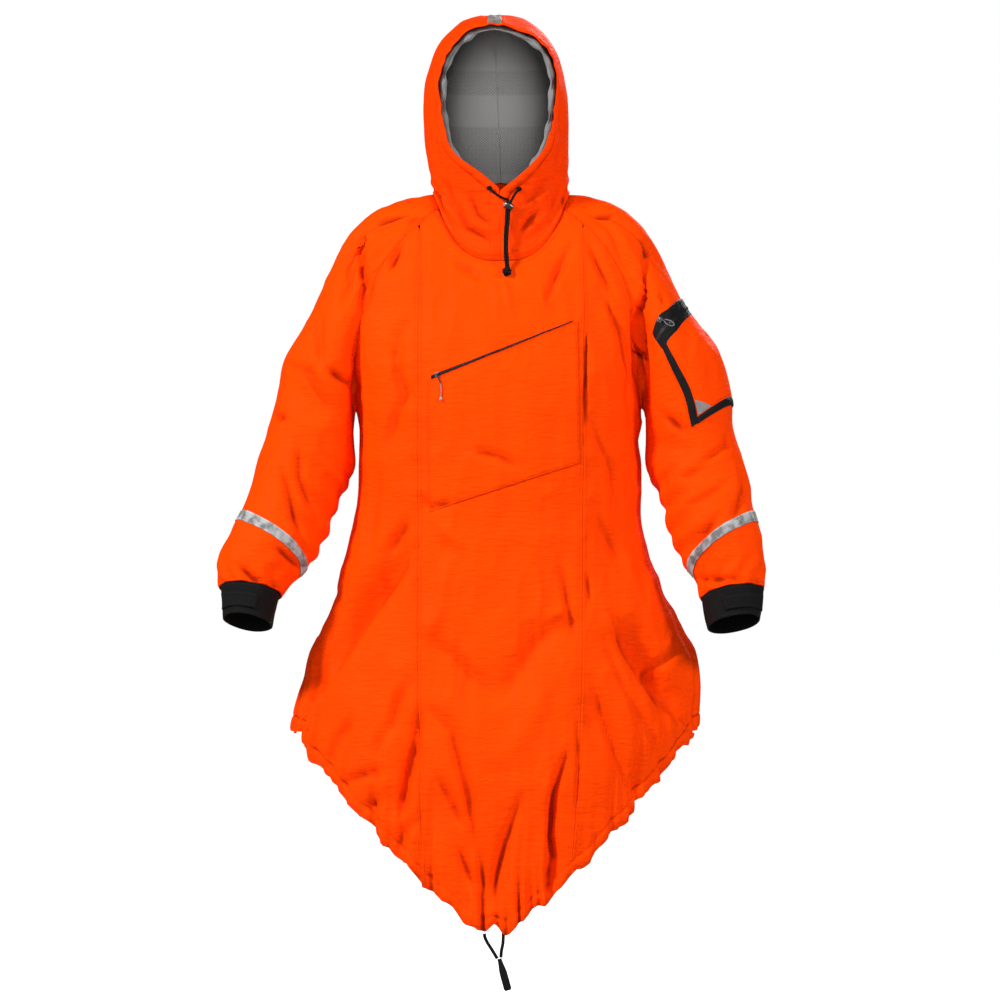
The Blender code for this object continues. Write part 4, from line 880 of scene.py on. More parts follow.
# %% Sleeve cloth
def sleeve_relief(side, turn, row):
    """Creases inside the elbow and soft bagging above the cuff, outwards."""
    inner = ease((np.abs(turn) - 0.35) / 0.4)
    elbow = ease((row - 2.2) / 1.2) * (1 - ease((row - 5.6) / 1.4))
    waves = np.sin(row * 7.5 + 2.2 * np.cos(math.pi * turn) + 1.3 * side)
    cuffs = ease((row - 6.6) / 0.8) * (1 - ease((row - 7.95) / 0.05))
    bags = np.cos(math.pi * turn * 9 + 3 * np.sin(row * 2.1 + side))
    return ELBOW_CREASE * inner * elbow * waves + CUFF_BAGGING * cuffs * bags


def sleeve_point(side, turn, row):
    """The sleeve cloth with folds and creases, and its outward direction."""
    turn, row = np.broadcast_arrays(np.asarray(turn, float), np.asarray(row, float))
    base = sleeve_base(side, turn, row)
    normal = sleeve_normal(side, turn, row)
    inside = ease((np.abs(turn) - 0.75) / 0.15) * (row < 4)
    sink = creases(base, FRONT_CREASES, -1) + creases(base, BACK_CREASES, 1)
    sink = sink * ease(np.abs(normal[..., 1]) / CREASE_FACING) + folds(base) * (1 - inside)
    relief = crumple(base) + sleeve_relief(side, turn, row) - sink
    relief = relief * np.where(row > CUFF_ROW, CUFF_HOLD, 1)
    return base + normal * relief[..., None], normal

# %% Sleeves
SLEEVE_TURNS = np.linspace(-1, 1, 144)[None, :]
SLEEVE_LEVELS = np.concatenate((np.linspace(-1, 0, 46), np.linspace(0.07, CUFF_ROW, 108)))[:, None]


def whole_sleeve(name, side):
    row, turn = np.broadcast_arrays(SLEEVE_LEVELS, SLEEVE_TURNS)
    point, normal = sleeve_point(side, turn, row)
    seam, body_out = armhole(side, turn[0])
    toward = unit(sleeve_base(side, turn[0], -0.97) - sleeve_base(side, turn[0], -1))
    blend = (1 - ease((row + 1) / 0.12))[..., None]
    point = point + (seam - point[0]) * blend
    point[0] -= toward * TUCK + body_out * TUCK
    return make_sheet(name, point, normal, closed=True, sewn="tb")


sleeves = {side: whole_sleeve("sleeve_cloth_" + word, side) for side, word in SIDES}

# %% [markdown]
# ## Cuffs and forearm bands
# The cuff is a tube of neoprene, a soft rubber foam about 3 mm thick, with a tab laid over its
# front. The band is reflective tape sewn round the forearm. Both follow the sleeve's own shape.

# %% Cuffs and bands
BAND_ROW = 5.3
BAND_FALL = 1.35
BAND_ROWS = 0.36
BAND_STAND = 1.3
BAND_THICKNESS = 0.5
CUFF_THICKNESS = 2.4
CUFF_SINK = 0.3
CUFF_FULLNESS = 0.9
CUFF_WAVES = 0.5
RIM_CELLS = 2.2
CUFF_TAB_CORNERS = ((0.62, 8.55), (0.08, 8.45), (0.60, 9.5), (0.06, 9.5))


def cuff_sheet(name, side):
    rows = np.linspace(CUFF_ROW + 0.012, SLEEVE_END_ROW, 26)[:, None]
    row, turn = np.broadcast_arrays(rows, np.linspace(-1, 1, 96)[None, :])
    point, normal = sleeve_point(side, turn, row)
    share = (row - CUFF_ROW) / (SLEEVE_END_ROW - CUFF_ROW)
    soft = CUFF_FULLNESS * np.sin(math.pi * share)
    soft = soft + CUFF_WAVES * np.sin(turn * 14 + 4 * share + side)
    point = point + normal * (soft - CUFF_SINK)[..., None]
    return make_sheet(name, point, normal, CUFF_THICKNESS, closed=True, sewn="tb")


def band_sheet(name, side):
    turns = np.linspace(-1, 1, 128)[None, :]
    middle = BAND_ROW + BAND_FALL * np.abs(turns) ** 1.6
    rows = middle + np.linspace(-0.5, 0.5, 8)[:, None] * BAND_ROWS
    point, normal = sleeve_point(side, turns, rows)
    point = point + normal * BAND_STAND
    return make_sheet(name, point, normal, BAND_THICKNESS, closed=True, sewn="tb")

# %% Laying a piece on cloth
def quad(corners, across, down):
    """Points between four corners: top left, top right, bottom left and bottom right."""
    top_left, top_right, low_left, low_right = (np.array(corner, float) for corner in corners)
    across, down = np.asarray(across)[..., None], np.asarray(down)[..., None]
    top = top_left + (top_right - top_left) * across
    bottom = low_left + (low_right - low_left) * across
    return top + (bottom - top) * down


def ruled(edges, across, down):
    """Points between two smooth edges, each a row of spots from left to right."""
    top, low = (spline(np.array(edge), across * (len(edge) - 1)) for edge in edges)
    return top + (low - top) * down[..., None]


def on_sleeve(side):
    def place(turn, row, lift):
        point, normal = sleeve_point(side, turn, row)
        return point + normal * np.asarray(lift)[..., None], normal
    return place


def laid_sheet(name, place, corners, size, lift, thickness, edge=0.0, puff=None, wider=(1, 1)):
    """A piece laid on the cloth between four corners, its edges pressed down by a little."""
    across, down = np.meshgrid(np.linspace(0, 1, size[0]), np.linspace(0, 1, size[1]))
    spread = 0.5 + (across - 0.5) * wider[0], 0.5 + (down - 0.5) * wider[1]
    spot = (ruled if len(corners) == 2 else quad)(corners, *spread)
    rim = np.minimum(np.minimum(across, 1 - across) * size[0], np.minimum(down, 1 - down) * size[1])
    height = lift + thickness - edge * (1 - ease(rim / RIM_CELLS))
    if puff is not None:
        height = height + puff(across, down)
    point, normal = place(spot[..., 0], spot[..., 1], height)
    return make_sheet(name, point, normal, thickness)

# %% Cuffs, bands and tabs of both sleeves
cuffs, bands, tabs = {}, {}, {}
for side, word in SIDES:
    cuffs[side] = cuff_sheet("cuff_sleeve_" + word, side)
    bands[side] = band_sheet("forearm_band_" + word, side)
    tabs[side] = laid_sheet("cuff_flap_" + word, on_sleeve(side), CUFF_TAB_CORNERS, (36, 16),
                            lift=1.4, thickness=1.8, edge=0.8)

# %% [markdown]
# ## The hood
# Each half of the hood is a sheet with the cord's tunnel rolled inwards along the face opening.
# The cord draws the tunnel up, so it puckers. Inside lies a grey lining, and a padded grey
# facing shows as a roll just inside both edges of the opening.

# %% Hood cloth
HOOD_ROLL_WIDTH = 15.0
HOOD_ROLL = 2.4
HOOD_GROOVE = 1.3
HOOD_PUCKER = 0.9
HOOD_PUCKER_REACH = 26
HOOD_SLACK = 2.2
HOOD_OWN_CRUMPLE = (500.0, 0, 0)
LINING_DEPTH = 6.5
LINING_SAG = 2.0
FACING_SIZE = 4.3
FACING_PLACE = 0.05
FACING_INSET = 7.5
FACING_WANDER = 1.4
FACING_DEPTH = 9.5


def hood_cloth(side, across, up):
    """The hood's cloth and its outward direction, with the puckered roll of its tunnel."""
    base, normal = hood_point(side, across, up)
    edge = hood_point(side, np.zeros_like(across), up)[0]
    reach = np.linalg.norm(base - edge, axis=-1)
    opening = ease((up - FACE_START + 0.08) / 0.1)
    shrink = np.exp(-reach / HOOD_PUCKER_REACH) * opening
    pucker = np.cos(up * 118 + 2.4 * np.sin(up * 31) + side) + 0.6 * np.cos(up * 71 + side)
    roll = HOOD_ROLL * np.sin(math.pi * np.clip(reach / HOOD_ROLL_WIDTH, 0, 1)) * opening
    groove = HOOD_GROOVE * np.exp(-((reach - HOOD_ROLL_WIDTH - 1) / 2.0) ** 2) * opening
    middle = np.abs(base[..., 0] - np.where(across > 0.5, middle_line(up), MIDDLE_AT_CROWN))
    seam = np.exp(-(middle / 3.0) ** 2) * (across > 0.3)
    neck = ease((0.34 - up) / 0.34)
    slack = HOOD_SLACK * neck * np.sin(up * 38 + 5 * across) * ease(up / 0.05)
    sink = creases(base, HOOD_CREASES, -1)
    small = crumple(base + np.array(HOOD_OWN_CRUMPLE)) * (0.55 + 0.25 * neck)
    hold = ease(up / 0.04) * 0.85 + 0.15
    relief = (HOOD_PUCKER * shrink * pucker + roll - groove + slack + small - sink) * hold - seam
    return base, normal, relief


def hood_sheet(name, side):
    up, across = np.meshgrid(np.linspace(0, 1, 126), np.linspace(0, 1, 104), indexing="ij")
    base, normal, relief = hood_cloth(side, across, up)
    point = base + normal * relief[..., None]
    middle = middle_line(up)
    held = middle + side * np.maximum(side * (point[..., 0] - middle), 0)
    point[..., 0] = np.where((across > 0.9) | (up > 0.9) | (across < 0.02), held, point[..., 0])
    sewn = (across > 0.999) | (up > 0.999) | ((across < 0.001) & (up < FACE_START))
    point[..., 0] = np.where(sewn, middle, point[..., 0])
    point[0] -= normal[0] * TUCK + np.array((0, 0, TUCK))
    return make_sheet(name, point, normal, sewn="lrtb")

# %% Lining and facing
def hood_inner(side, across, up, under):
    """A place under the hood's cloth."""
    base, normal, relief = hood_cloth(side, across, up)
    corner = 3 * ease((across - 0.85) / 0.15) * ease((up - 0.85) / 0.15)
    point = base + normal * (relief * 0.5 - under - corner)[..., None]
    middle = middle_line(up)
    point[..., 0] = middle + side * np.maximum(side * (point[..., 0] - middle), 0)
    point[..., 0] = np.where((across > 0.999) | (up > 0.999), middle, point[..., 0])
    return point, normal


def lining_sheet(name, side):
    up, across = np.meshgrid(np.linspace(0.09, 1, 90), np.linspace(0.02, 1, 80), indexing="ij")
    sag = LINING_SAG * np.sin(up * 24 + 3 * across) * np.sin(math.pi * across) ** 2
    under = LINING_DEPTH + 3.2 * np.exp(-(across / 0.1) ** 2) + sag
    return make_sheet(name, *hood_inner(side, across, up, under), 0.8, sewn="tb")


def facing_roll(name, side):
    """The padded roll of the facing inside one edge of the face opening."""
    up = np.linspace(FACE_START - 0.02, 1, 90)[:, None]
    phase = np.linspace(-math.pi, math.pi, 15)[None, :]
    up, phase = np.broadcast_arrays(up, phase)
    across = np.full(up.shape, FACING_PLACE)
    base, normal, _ = hood_cloth(side, across, up)
    edge = hood_point(side, np.zeros_like(across), up)[0]
    inward = unit(base - edge)
    fat = FACING_SIZE + 1.3 * np.sin(up * 66 + side) + 0.8 * np.sin(up * 117 + 2 * side)
    fat = fat * ease((up - FACE_START - 0.05) / 0.08) * (1 - 0.75 * ease((up - 0.9) / 0.08))
    wander = FACING_WANDER * np.sin(up * 43 + side)
    middle = edge + inward * (FACING_INSET + wander[..., None]) - normal * FACING_DEPTH
    point = middle + inward * (fat * np.cos(phase))[..., None] * 1.1
    point = point - normal * (fat * np.sin(phase))[..., None]
    limit = middle_line(up)
    point[..., 0] = limit + side * np.maximum(side * (point[..., 0] - limit), SEAM_GAP)
    return make_sheet(name, point, point - middle, 0, closed=True, sewn="lr")

# %% Both halves of the hood
hoods, linings, facings = {}, {}, {}
for side, word in SIDES:
    hoods[side] = hood_sheet("hood_cloth_" + word, side)
    linings[side] = lining_sheet("hood_inside_" + word, side)
    facings[side] = facing_roll("hood_facing_" + word, side)

# %% Reflective tape over the crown
TAPE_START = 0.012
TAPE_END = 0.5
TAPE_HALF_WIDTH = 0.0253
TAPE_STAND = 1.1


def crown_tape(name):
    share, side_step = np.meshgrid(np.linspace(TAPE_START, TAPE_END, 44), np.linspace(-1, 1, 13),
                                   indexing="ij")
    place = []
    for side in (1, -1):
        base, normal, relief = hood_cloth(side, share, 1 - TAPE_HALF_WIDTH * np.abs(side_step))
        place.append(base + normal * (np.maximum(relief, -0.4) + TAPE_STAND)[..., None])
    point = np.where(side_step[..., None] > 0, place[0], place[1])
    point[..., 0] = np.where(np.abs(side_step) < 0.01, MIDDLE_AT_CROWN, point[..., 0])
    return make_sheet(name, point, np.broadcast_to((0, 0, 1.0), point.shape), 0.5, sewn="lr")


tape = crown_tape("crown_tape")[0]

# %% [markdown]
# ## The chest pocket
# A patch pocket covers the middle of the chest. Its mouth is a slanted zip whose coil shows as
# a thin dark wedge, and its sides and foot are held by a line of stitches. All of it lies on
# the front panel's own points, moved out by the thickness of what is under it.

# %% Places on the chest
CHEST_ZIP_CORNERS = ((-107, -272.5), (111, -185.5), (-105, -278.5), (113.5, -191.5))
CHEST_POCKET_CORNERS = ((-112, -282.5), (121, -189.3), (-110, -484), (123, -408))

CHEST_LEVEL = 6.0
LEVEL_HEIGHT = 85
SOLVE_STEPS = 60
CHEST_PUFF = 2.2


def solve_front(x, z):
    """The body's angle and level at a place seen from the front."""
    x, z = np.broadcast_arrays(np.asarray(x, float), np.asarray(z, float))
    row = np.full(x.shape, CHEST_LEVEL)
    for _ in range(SOLVE_STEPS):
        level = spline(BODY_ROWS, row)
        share = np.clip((x - level[..., 6]) / level[..., 3], -1, 1)
        angle = np.arcsin(np.sign(share) * np.abs(share) ** (level[..., 8] / 2))
        row = np.clip(row - (z - body_base(angle, row)[..., 2]) / LEVEL_HEIGHT, 0, HEM_ROW)
    return angle, row


def on_front(x, z, lift):
    angle, row = solve_front(x, z)
    point, normal = body_point(angle, row)
    return point + normal * np.asarray(lift)[..., None], normal


def chest_puff(across, down):
    """The pocket stands off a little where things go in, and is drawn down at its stitches."""
    return CHEST_PUFF * np.sin(math.pi * across) * np.sin(math.pi * down) ** 0.6

# %% Chest pocket
# The zip shows as a wedge about the middle of its band, wider at the slider's end.
WEDGE_HALVES = (2.6, 0.8, -2.6, -0.8)
ZIP_WEDGE = [((top[0] + low[0]) / 2, (top[1] + low[1]) / 2 + half) for half, top, low in
             zip(WEDGE_HALVES, CHEST_ZIP_CORNERS[:2] * 2, CHEST_ZIP_CORNERS[2:] * 2)]
chest_patch, chest_size = laid_sheet("chest_patch", on_front, CHEST_POCKET_CORNERS, (90, 84),
                                     lift=0.5, thickness=1.0, edge=0.5, puff=chest_puff)
chest_tape = laid_sheet("chest_zip_tape", on_front, ZIP_WEDGE, (100, 7), lift=0.3, thickness=1.0)[0]

# %% Zip teeth
ZIP_ENDS = (0.03, 0.97)
TOOTH_STAGGER = 0.2
TOOTH_CORNERS = ((-1, -1, 0), (1, -1, 0), (1, 1, 0), (-1, 1, 0),
                 (-1, -0.6, 1), (1, -0.6, 1), (1, 0.6, 1), (-1, 0.6, 1))
TOOTH_FACES = ((0, 3, 2, 1), (4, 5, 6, 7), (0, 1, 5, 4), (1, 2, 6, 5), (2, 3, 7, 6), (3, 0, 4, 7))


def zip_teeth(name, place, corners, count, tooth, height):
    """The zip's coil: one small tooth modelled once and repeated along the middle of its tape."""
    share, half = np.linspace(*ZIP_ENDS, count), np.full(count, 0.5)
    line = (ruled if len(corners) == 2 else quad)(corners, share, half)
    low, out = place(line[:, 0], line[:, 1], np.full(count, height))
    forward = unit(np.gradient(low, axis=0))
    side = np.cross(out, forward)
    mesh = bmesh.new()
    length, width, rise = tooth
    for index in range(count):
        turn = 1 if index % 2 else -1
        ring = []
        for a, b, c in TOOTH_CORNERS:
            spot = low[index] + forward[index] * a * width / 2 + out[index] * c * rise
            spot = spot + side[index] * (b * length / 2 + turn * length * TOOTH_STAGGER)
            ring.append(mesh.verts.new(spot * METRE))
        for face in TOOTH_FACES:
            mesh.faces.new([ring[corner] for corner in face])
    bmesh.ops.recalc_face_normals(mesh, faces=mesh.faces)
    data = bpy.data.meshes.new(name)
    mesh.to_mesh(data)
    mesh.free()
    teeth = bpy.data.objects.new(name, data)
    bpy.context.scene.collection.objects.link(teeth)
    print(name, count, "teeth")
    return teeth


chest_teeth = zip_teeth("chest_zip_teeth", on_front, ZIP_WEDGE, 116,
                        tooth=(1.6, 1.1, 0.5), height=1.3)

# %% [markdown]
# ## The sleeve pocket
# The pocket on the left upper arm is bound with black tape and closed by a wide black zip at
# its top. A small grey triangle of reflective tape fills its lower corner.

# %% Sleeve pocket
SLEEVE_POCKET_CORNERS = ((0.452, -0.32), (-0.082, -0.06), (0.442, 1.97), (-0.082, 2.13))
SLEEVE_POCKET_BINDINGS = {
    "front": ((0.49, -0.335), (0.456, -0.323), (0.482, 2.14), (0.446, 2.15)),
    "bottom": ((0.443, 1.99), (-0.082, 2.15), (0.443, 2.15), (-0.082, 2.32)),
    "back": ((-0.086, -0.07), (-0.12, -0.055), (-0.086, 2.32), (-0.12, 2.32)),
}
BINDING_WIDENED = 1.4
ARM_PUFF = 1.6
SLEEVE_TRIANGLE_CORNERS = ((0.437, 1.42), (0.432, 1.42), (0.432, 1.93), (0.335, 1.955))
# The two edges of the zip band, from its slider end to where it goes round the arm.
ZIP_BAND = (((0.54, -0.45), (0.40, -0.36), (0.27, -0.235), (0.10, -0.165), (-0.15, -0.13)),
            ((0.50, -0.212), (0.40, -0.145), (0.295, -0.087), (0.12, -0.04), (-0.15, -0.02)))
LEFT_ARM = on_sleeve(1)


def arm_puff(across, down):
    return ARM_PUFF * np.sin(math.pi * across) * np.sin(math.pi * down)


arm_patch, arm_size = laid_sheet("arm_patch", LEFT_ARM, SLEEVE_POCKET_CORNERS, (70, 60),
                                 lift=0.9, thickness=1.2, edge=0.4, puff=arm_puff)
arm_tape = laid_sheet("arm_zip_tape", LEFT_ARM, ZIP_BAND, (70, 16),
                      lift=0.9, thickness=1.6, edge=0.5)[0]
bindings = []
for word, corners in SLEEVE_POCKET_BINDINGS.items():
    cells, wider = (8, 60), (BINDING_WIDENED, 1)
    if word == "bottom":
        cells, wider = cells[::-1], wider[::-1]
    bindings.append(laid_sheet("arm_binding_" + word, LEFT_ARM, corners, cells,
                               lift=1.0, thickness=1.7, edge=0.8, wider=wider)[0])
arm_corner = laid_sheet("arm_corner", LEFT_ARM, SLEEVE_TRIANGLE_CORNERS, (18, 20),
                        lift=2.4, thickness=0.6)[0]
arm_teeth = zip_teeth("arm_zip_teeth", LEFT_ARM, ZIP_BAND, 60, tooth=(5.0, 1.3, 0.9), height=2.5)

# %% [markdown]
# ## Small hard pieces
# The zip sliders, their rings and pulls, the eyelets and the cord lock are already the right
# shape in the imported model, so they stay and only get a finish. The knot and the strap on the
# hem cord are soft, so they are modelled again: the knot as a turned ball of wound cord, and
# the strap as two legs folded over at the foot.

# %% Wound knot
def wound_knot(name, centre, size, wraps, fray):
    """A knot of cord: a sphere with cord wound round it, and a frayed foot."""
    bpy.ops.object.select_all(action="DESELECT")
    bpy.ops.mesh.primitive_uv_sphere_add(segments=40, ring_count=28, radius=1)
    ball = bpy.context.object
    ball.name = ball.data.name = name
    for vertex in ball.data.vertices:
        x, y, z = vertex.co
        angle = math.atan2(y, x)
        lump = 1 + 0.13 * math.cos(z * wraps + angle) + 0.08 * math.cos(2 * angle + 1)
        lump += fray * math.cos(angle * 7) * max(0.0, -z - 0.2) * 2
        spot = Vector(centre) + Vector((x * size[0], y * size[1], z * size[2])) * lump
        vertex.co = spot * METRE
    ball.data.update()
    bpy.ops.object.shade_smooth()
    print(name, len(ball.data.polygons), "faces")
    return ball

# %% Hem strap
STRAP_ROWS = 40
STRAP_TURNS = 25
STRAP_HALF = 3.4
STRAP_SPREAD = 2.6
STRAP_ROUNDING = 1.6
STRAP_THICKNESS = 2.2
STRAP_GROOVE = 0.45
SMOOTH_BELOW = math.radians(50)


def strap(name):
    """A folded strap: a flat loop whose two legs lie side by side and meet at a rounded foot."""
    top, foot = np.array(HEM_TAB_TOP), np.array(HEM_TAB_FOOT)
    forward = np.array((0, -1, 0))
    along = unit(foot - top)
    side = unit(np.cross(along, -forward))
    length = np.linalg.norm(foot - top)
    bpy.ops.object.select_all(action="DESELECT")
    bpy.ops.mesh.primitive_grid_add(x_subdivisions=STRAP_TURNS - 1,
                                    y_subdivisions=STRAP_ROWS - 1, size=1)
    piece = bpy.context.object
    piece.name = piece.data.name = name
    for vertex in piece.data.vertices:
        phase, share = 2 * math.pi * (vertex.co.x + 0.5), 0.5 - vertex.co.y
        half = STRAP_HALF + STRAP_SPREAD * ease(share / 0.5)
        half -= STRAP_ROUNDING * ease((share - 0.93) / 0.07)
        groove = STRAP_GROOVE * math.exp(-(math.cos(phase) / 0.22) ** 2)
        thick = STRAP_THICKNESS * (1 - 0.5 * ease((share - 0.9) / 0.1)) - groove
        spot = top + along * share * length + side * half * math.cos(phase)
        vertex.co = (spot + forward * thick * math.sin(phase)) * METRE
    weld(piece, fill=True)
    bpy.ops.object.shade_smooth_by_angle(angle=SMOOTH_BELOW)
    print(name, len(piece.data.polygons), "faces")
    return piece

# %% Knots and strap
EYELET_KNOT_SIZE = (4.0, 3.4, 3.0)
knot = wound_knot("drawcord_knot", KNOT_CENTRE, KNOT_SIZE, wraps=9.0, fray=0.3)
eyelet_knots = [wound_knot("drawcord_stop_" + word, np.array(neck_starts[side][1]) + (0, -1.0, 0.5),
                           EYELET_KNOT_SIZE, wraps=6.0, fray=0) for side, word in SIDES]
hem_strap = strap("hem_strap")

# %% [markdown]
# ## Shader groups
# Cloth, cords and tape share some effects: a fine weave, a line of stitches and an uneven dye.
# Each is a group of shader nodes with named inputs, built once and used by many materials. The
# sums are written as plain arithmetic, and a small class turns them into math nodes.

# %% Arithmetic with nodes
class Field:
    """A value that changes over a surface, whose arithmetic is done by math nodes."""

    def __init__(self, tree, socket):
        self.tree = tree
        self.socket = socket

    def math(self, operation, *values):
        return math_node(self.tree, operation, self, *values)

    def __add__(self, other):
        return self.math("ADD", other)

    def __sub__(self, other):
        return self.math("SUBTRACT", other)

    def __mul__(self, other):
        return self.math("MULTIPLY", other)

    def __truediv__(self, other):
        return self.math("DIVIDE", other)

    def size(self):
        return self.math("ABSOLUTE")

    def squared(self):
        return self.math("POWER", 2.0)

    def at_most(self, other):
        return self.math("MINIMUM", other)

    def at_least(self, other):
        return self.math("MAXIMUM", other)

    def rest(self):
        """What is left up to 1."""
        return math_node(self.tree, "SUBTRACT", 1.0, self)

# %% Making and feeding nodes
def feed(tree, value, socket):
    """Put a number, a colour or another node's value into a socket."""
    if isinstance(value, Field):
        tree.links.new(value.socket, socket)
    elif isinstance(value, tuple):
        socket.default_value = (*value, 1)
    else:
        socket.default_value = value


def feed_node(tree, kind, **values):
    node = tree.nodes.new("ShaderNode" + kind)
    for word, value in values.items():
        feed(tree, value, node.inputs[word])
    return [Field(tree, socket) for socket in node.outputs]


def math_node(tree, operation, *values):
    node = tree.nodes.new("ShaderNodeMath")
    node.operation = operation
    for socket, value in zip(node.inputs, values):
        feed(tree, value, socket)
    return Field(tree, node.outputs[0])

# %% Patterns from nodes
def split(vector):
    return feed_node(vector.tree, "SeparateXYZ", Vector=vector)


def noise_of(vector, scale, detail):
    return feed_node(vector.tree, "TexNoise", Vector=vector, Scale=scale, Detail=detail)[0]


def stretched(vector, scale, turn=(0, 0, 0)):
    node = vector.tree.nodes.new("ShaderNodeMapping")
    node.inputs["Rotation"].default_value = turn
    node.inputs["Scale"].default_value = scale
    feed(vector.tree, vector, node.inputs["Vector"])
    return Field(vector.tree, node.outputs[0])


def wave_of(value, length):
    """A soft wave from 0 to 1 that repeats every length."""
    return (value / length * (2 * math.pi)).math("SINE") * 0.5 + 0.5


def line_at(value, place, half):
    """1 on a thin line where the value meets a place, falling to 0 a half width away."""
    return ((value - place).size() / half).at_most(1.0).rest()

# %% Group maker
def new_group(name, build, results, **inputs):
    """A node group built by a function. An input is a vector where no number is given."""
    group = bpy.data.node_groups.new(name, "ShaderNodeTree")
    words = [word.replace("_", " ") for word in inputs]
    for word, value in zip(words, inputs.values()):
        kind = "NodeSocketVector" if value is None else "NodeSocketFloat"
        socket = group.interface.new_socket(word, in_out="INPUT", socket_type=kind)
        if value is not None:
            socket.default_value = value
    for word in results:
        group.interface.new_socket(word, in_out="OUTPUT", socket_type="NodeSocketFloat")
    given = group.nodes.new("NodeGroupInput").outputs
    wanted = group.nodes.new("NodeGroupOutput").inputs
    for word, value in zip(results, build(*(Field(group, given[word]) for word in words))):
        feed(group, value, wanted[word])
    print("shader group", name)
    return group

# %% Weave, stitches, dye, streaks and braid
DASH_CUT = 0.22
DASH_SHARPNESS = 3.0
DENT_WIDTHS = 3.2
FINE_SCALE = 22.0
STREAK_STRETCH = (45, 45, 210)
SLANT_STRETCH = (28, 28, 95)
SLANT_TURN = (0, 0.6, 0.2)


def plain_weave(cloth, thread):
    u, v, _ = split(cloth)
    return [wave_of(u, thread).at_least(wave_of(v, thread))]


def stitch_line(stitch, distance, length, half_width):
    run, near, _ = split(stitch)
    dash = ((wave_of(run, length) - DASH_CUT).at_least(0.0) * DASH_SHARPNESS).at_most(1.0)
    dent = line_at(near, distance, half_width * DENT_WIDTHS)
    return dash * line_at(near, distance, half_width), dent


def uneven_dye(place, scale):
    return noise_of(place, scale, 4.0), noise_of(place, scale * FINE_SCALE, 2.0)


def crinkle_streaks(place):
    level = noise_of(stretched(place, STREAK_STRETCH), 1.0, 4.0)
    slanted = noise_of(stretched(place, SLANT_STRETCH, SLANT_TURN), 1.0, 3.0)
    return [level - (slanted - 0.5).size() * 2.0]


def crossed_braid(around, turns, pitch):
    u, v, _ = split(around)
    one, two = v * turns + u * pitch, v * turns - u * pitch
    height = wave_of(one, 1.0).at_least(wave_of(two, 1.0))
    return height, height.rest()


weave_group = new_group("plain weave", plain_weave, ["Height"], Cloth=None, Thread=0.0006)
stitch_group = new_group("stitch line", stitch_line, ["Thread", "Dent"], Stitch=None,
                         Distance=0.005, Length=0.0034, Half_width=0.0006)
dye_group = new_group("uneven dye", uneven_dye, ["Cloudy", "Fine"], Place=None, Scale=14.0)
streak_group = new_group("crinkle streaks", crinkle_streaks, ["Height"], Place=None)
braid_group = new_group("braid", crossed_braid, ["Height", "Gap"], Around=None,
                        Turns=8.0, Pitch=60.0)

# %% Material helpers
def new_material(name, roughness, metallic=0.0, specular=0.5, coat=0.0):
    material = bpy.data.materials.new(name)
    material.use_nodes = True
    shader = material.node_tree.nodes["Principled BSDF"].inputs
    shader["Roughness"].default_value = roughness
    shader["Metallic"].default_value = metallic
    shader["Specular IOR Level"].default_value = specular
    shader["Coat Weight"].default_value = coat
    print("material", name)
    return material, material.node_tree, shader


def place_of(tree, layer=None):
    """Object coordinates, or a UV map of the piece by its name."""
    if layer is None:
        return Field(tree, tree.nodes.new("ShaderNodeTexCoord").outputs["Object"])
    node = tree.nodes.new("ShaderNodeUVMap")
    node.uv_map = layer
    return Field(tree, node.outputs["UV"])


def use_group(tree, group, **values):
    node = tree.nodes.new("ShaderNodeGroup")
    node.node_tree = group
    for word, value in values.items():
        feed(tree, value, node.inputs[word.replace("_", " ")])
    return {socket.name: Field(tree, socket) for socket in node.outputs}


def blend(factor, first, second):
    """A colour that goes from the first to the second with a factor."""
    node = factor.tree.nodes.new("ShaderNodeMix")
    node.data_type = "RGBA"
    for index, value in ((0, factor), (6, first), (7, second)):
        feed(factor.tree, value, node.inputs[index])
    return Field(factor.tree, node.outputs[2])


def finish(shader, colour, height, distance, strength, rough=None):
    """Give a shader its colour, its bump and perhaps an uneven roughness."""
    tree = height.tree
    normal = feed_node(tree, "Bump", Height=height, Distance=distance, Strength=strength)[0]
    feed(tree, normal, shader["Normal"])
    feed(tree, colour, shader["Base Color"])
    if rough is not None:
        feed(tree, rough, shader["Roughness"])


def dress(material, *things):
    for thing in things:
        thing.data.materials.clear()
        thing.data.materials.append(material)

# %% [markdown]
# ## Orange cloth
# The nylon is dyed a strong orange and coated, so it has a soft satin shine. Its threads are
# much finer than a millimetre. The seams have a line of stitches a few millimetres from the
# edge, which dents the cloth, and the dye is a little uneven. Shade is painted into the colour
# in the hollows of creases, along the seams and in the stitch dents.

# %% Orange cloth
# Painted shade for the seams and the stitch dents.
SEAM_SHADE_COLOUR = (0.34, 0.012, 0.0)
THREAD_COLOUR = (1.0, 0.09, 0.004)
# Painted shade for the hollows of creases.
CREASE_SHADE_COLOUR = (0.25, 0.010, 0.0)
ORANGE_LIT = (0.98, 0.058, 0.0001)
ORANGE_DEEP = (0.93, 0.047, 0.0001)
HOOD_LIT = (0.95, 0.050, 0.0003)
HOOD_DEEP = (0.84, 0.036, 0.0003)
DENT_SHADE = 0.25
THREAD_SHADE = 0.3
VALLEY_SHADE = 0.8
WEAVE_HEIGHT = 0.12
STREAK_HEIGHT = 4.5
DENT_DEPTH, SECOND_DENT = 1.6, 1.4
THREAD_HEIGHT, SECOND_THREAD = 1.3, 1.2
NYLON_BUMP = 0.0004


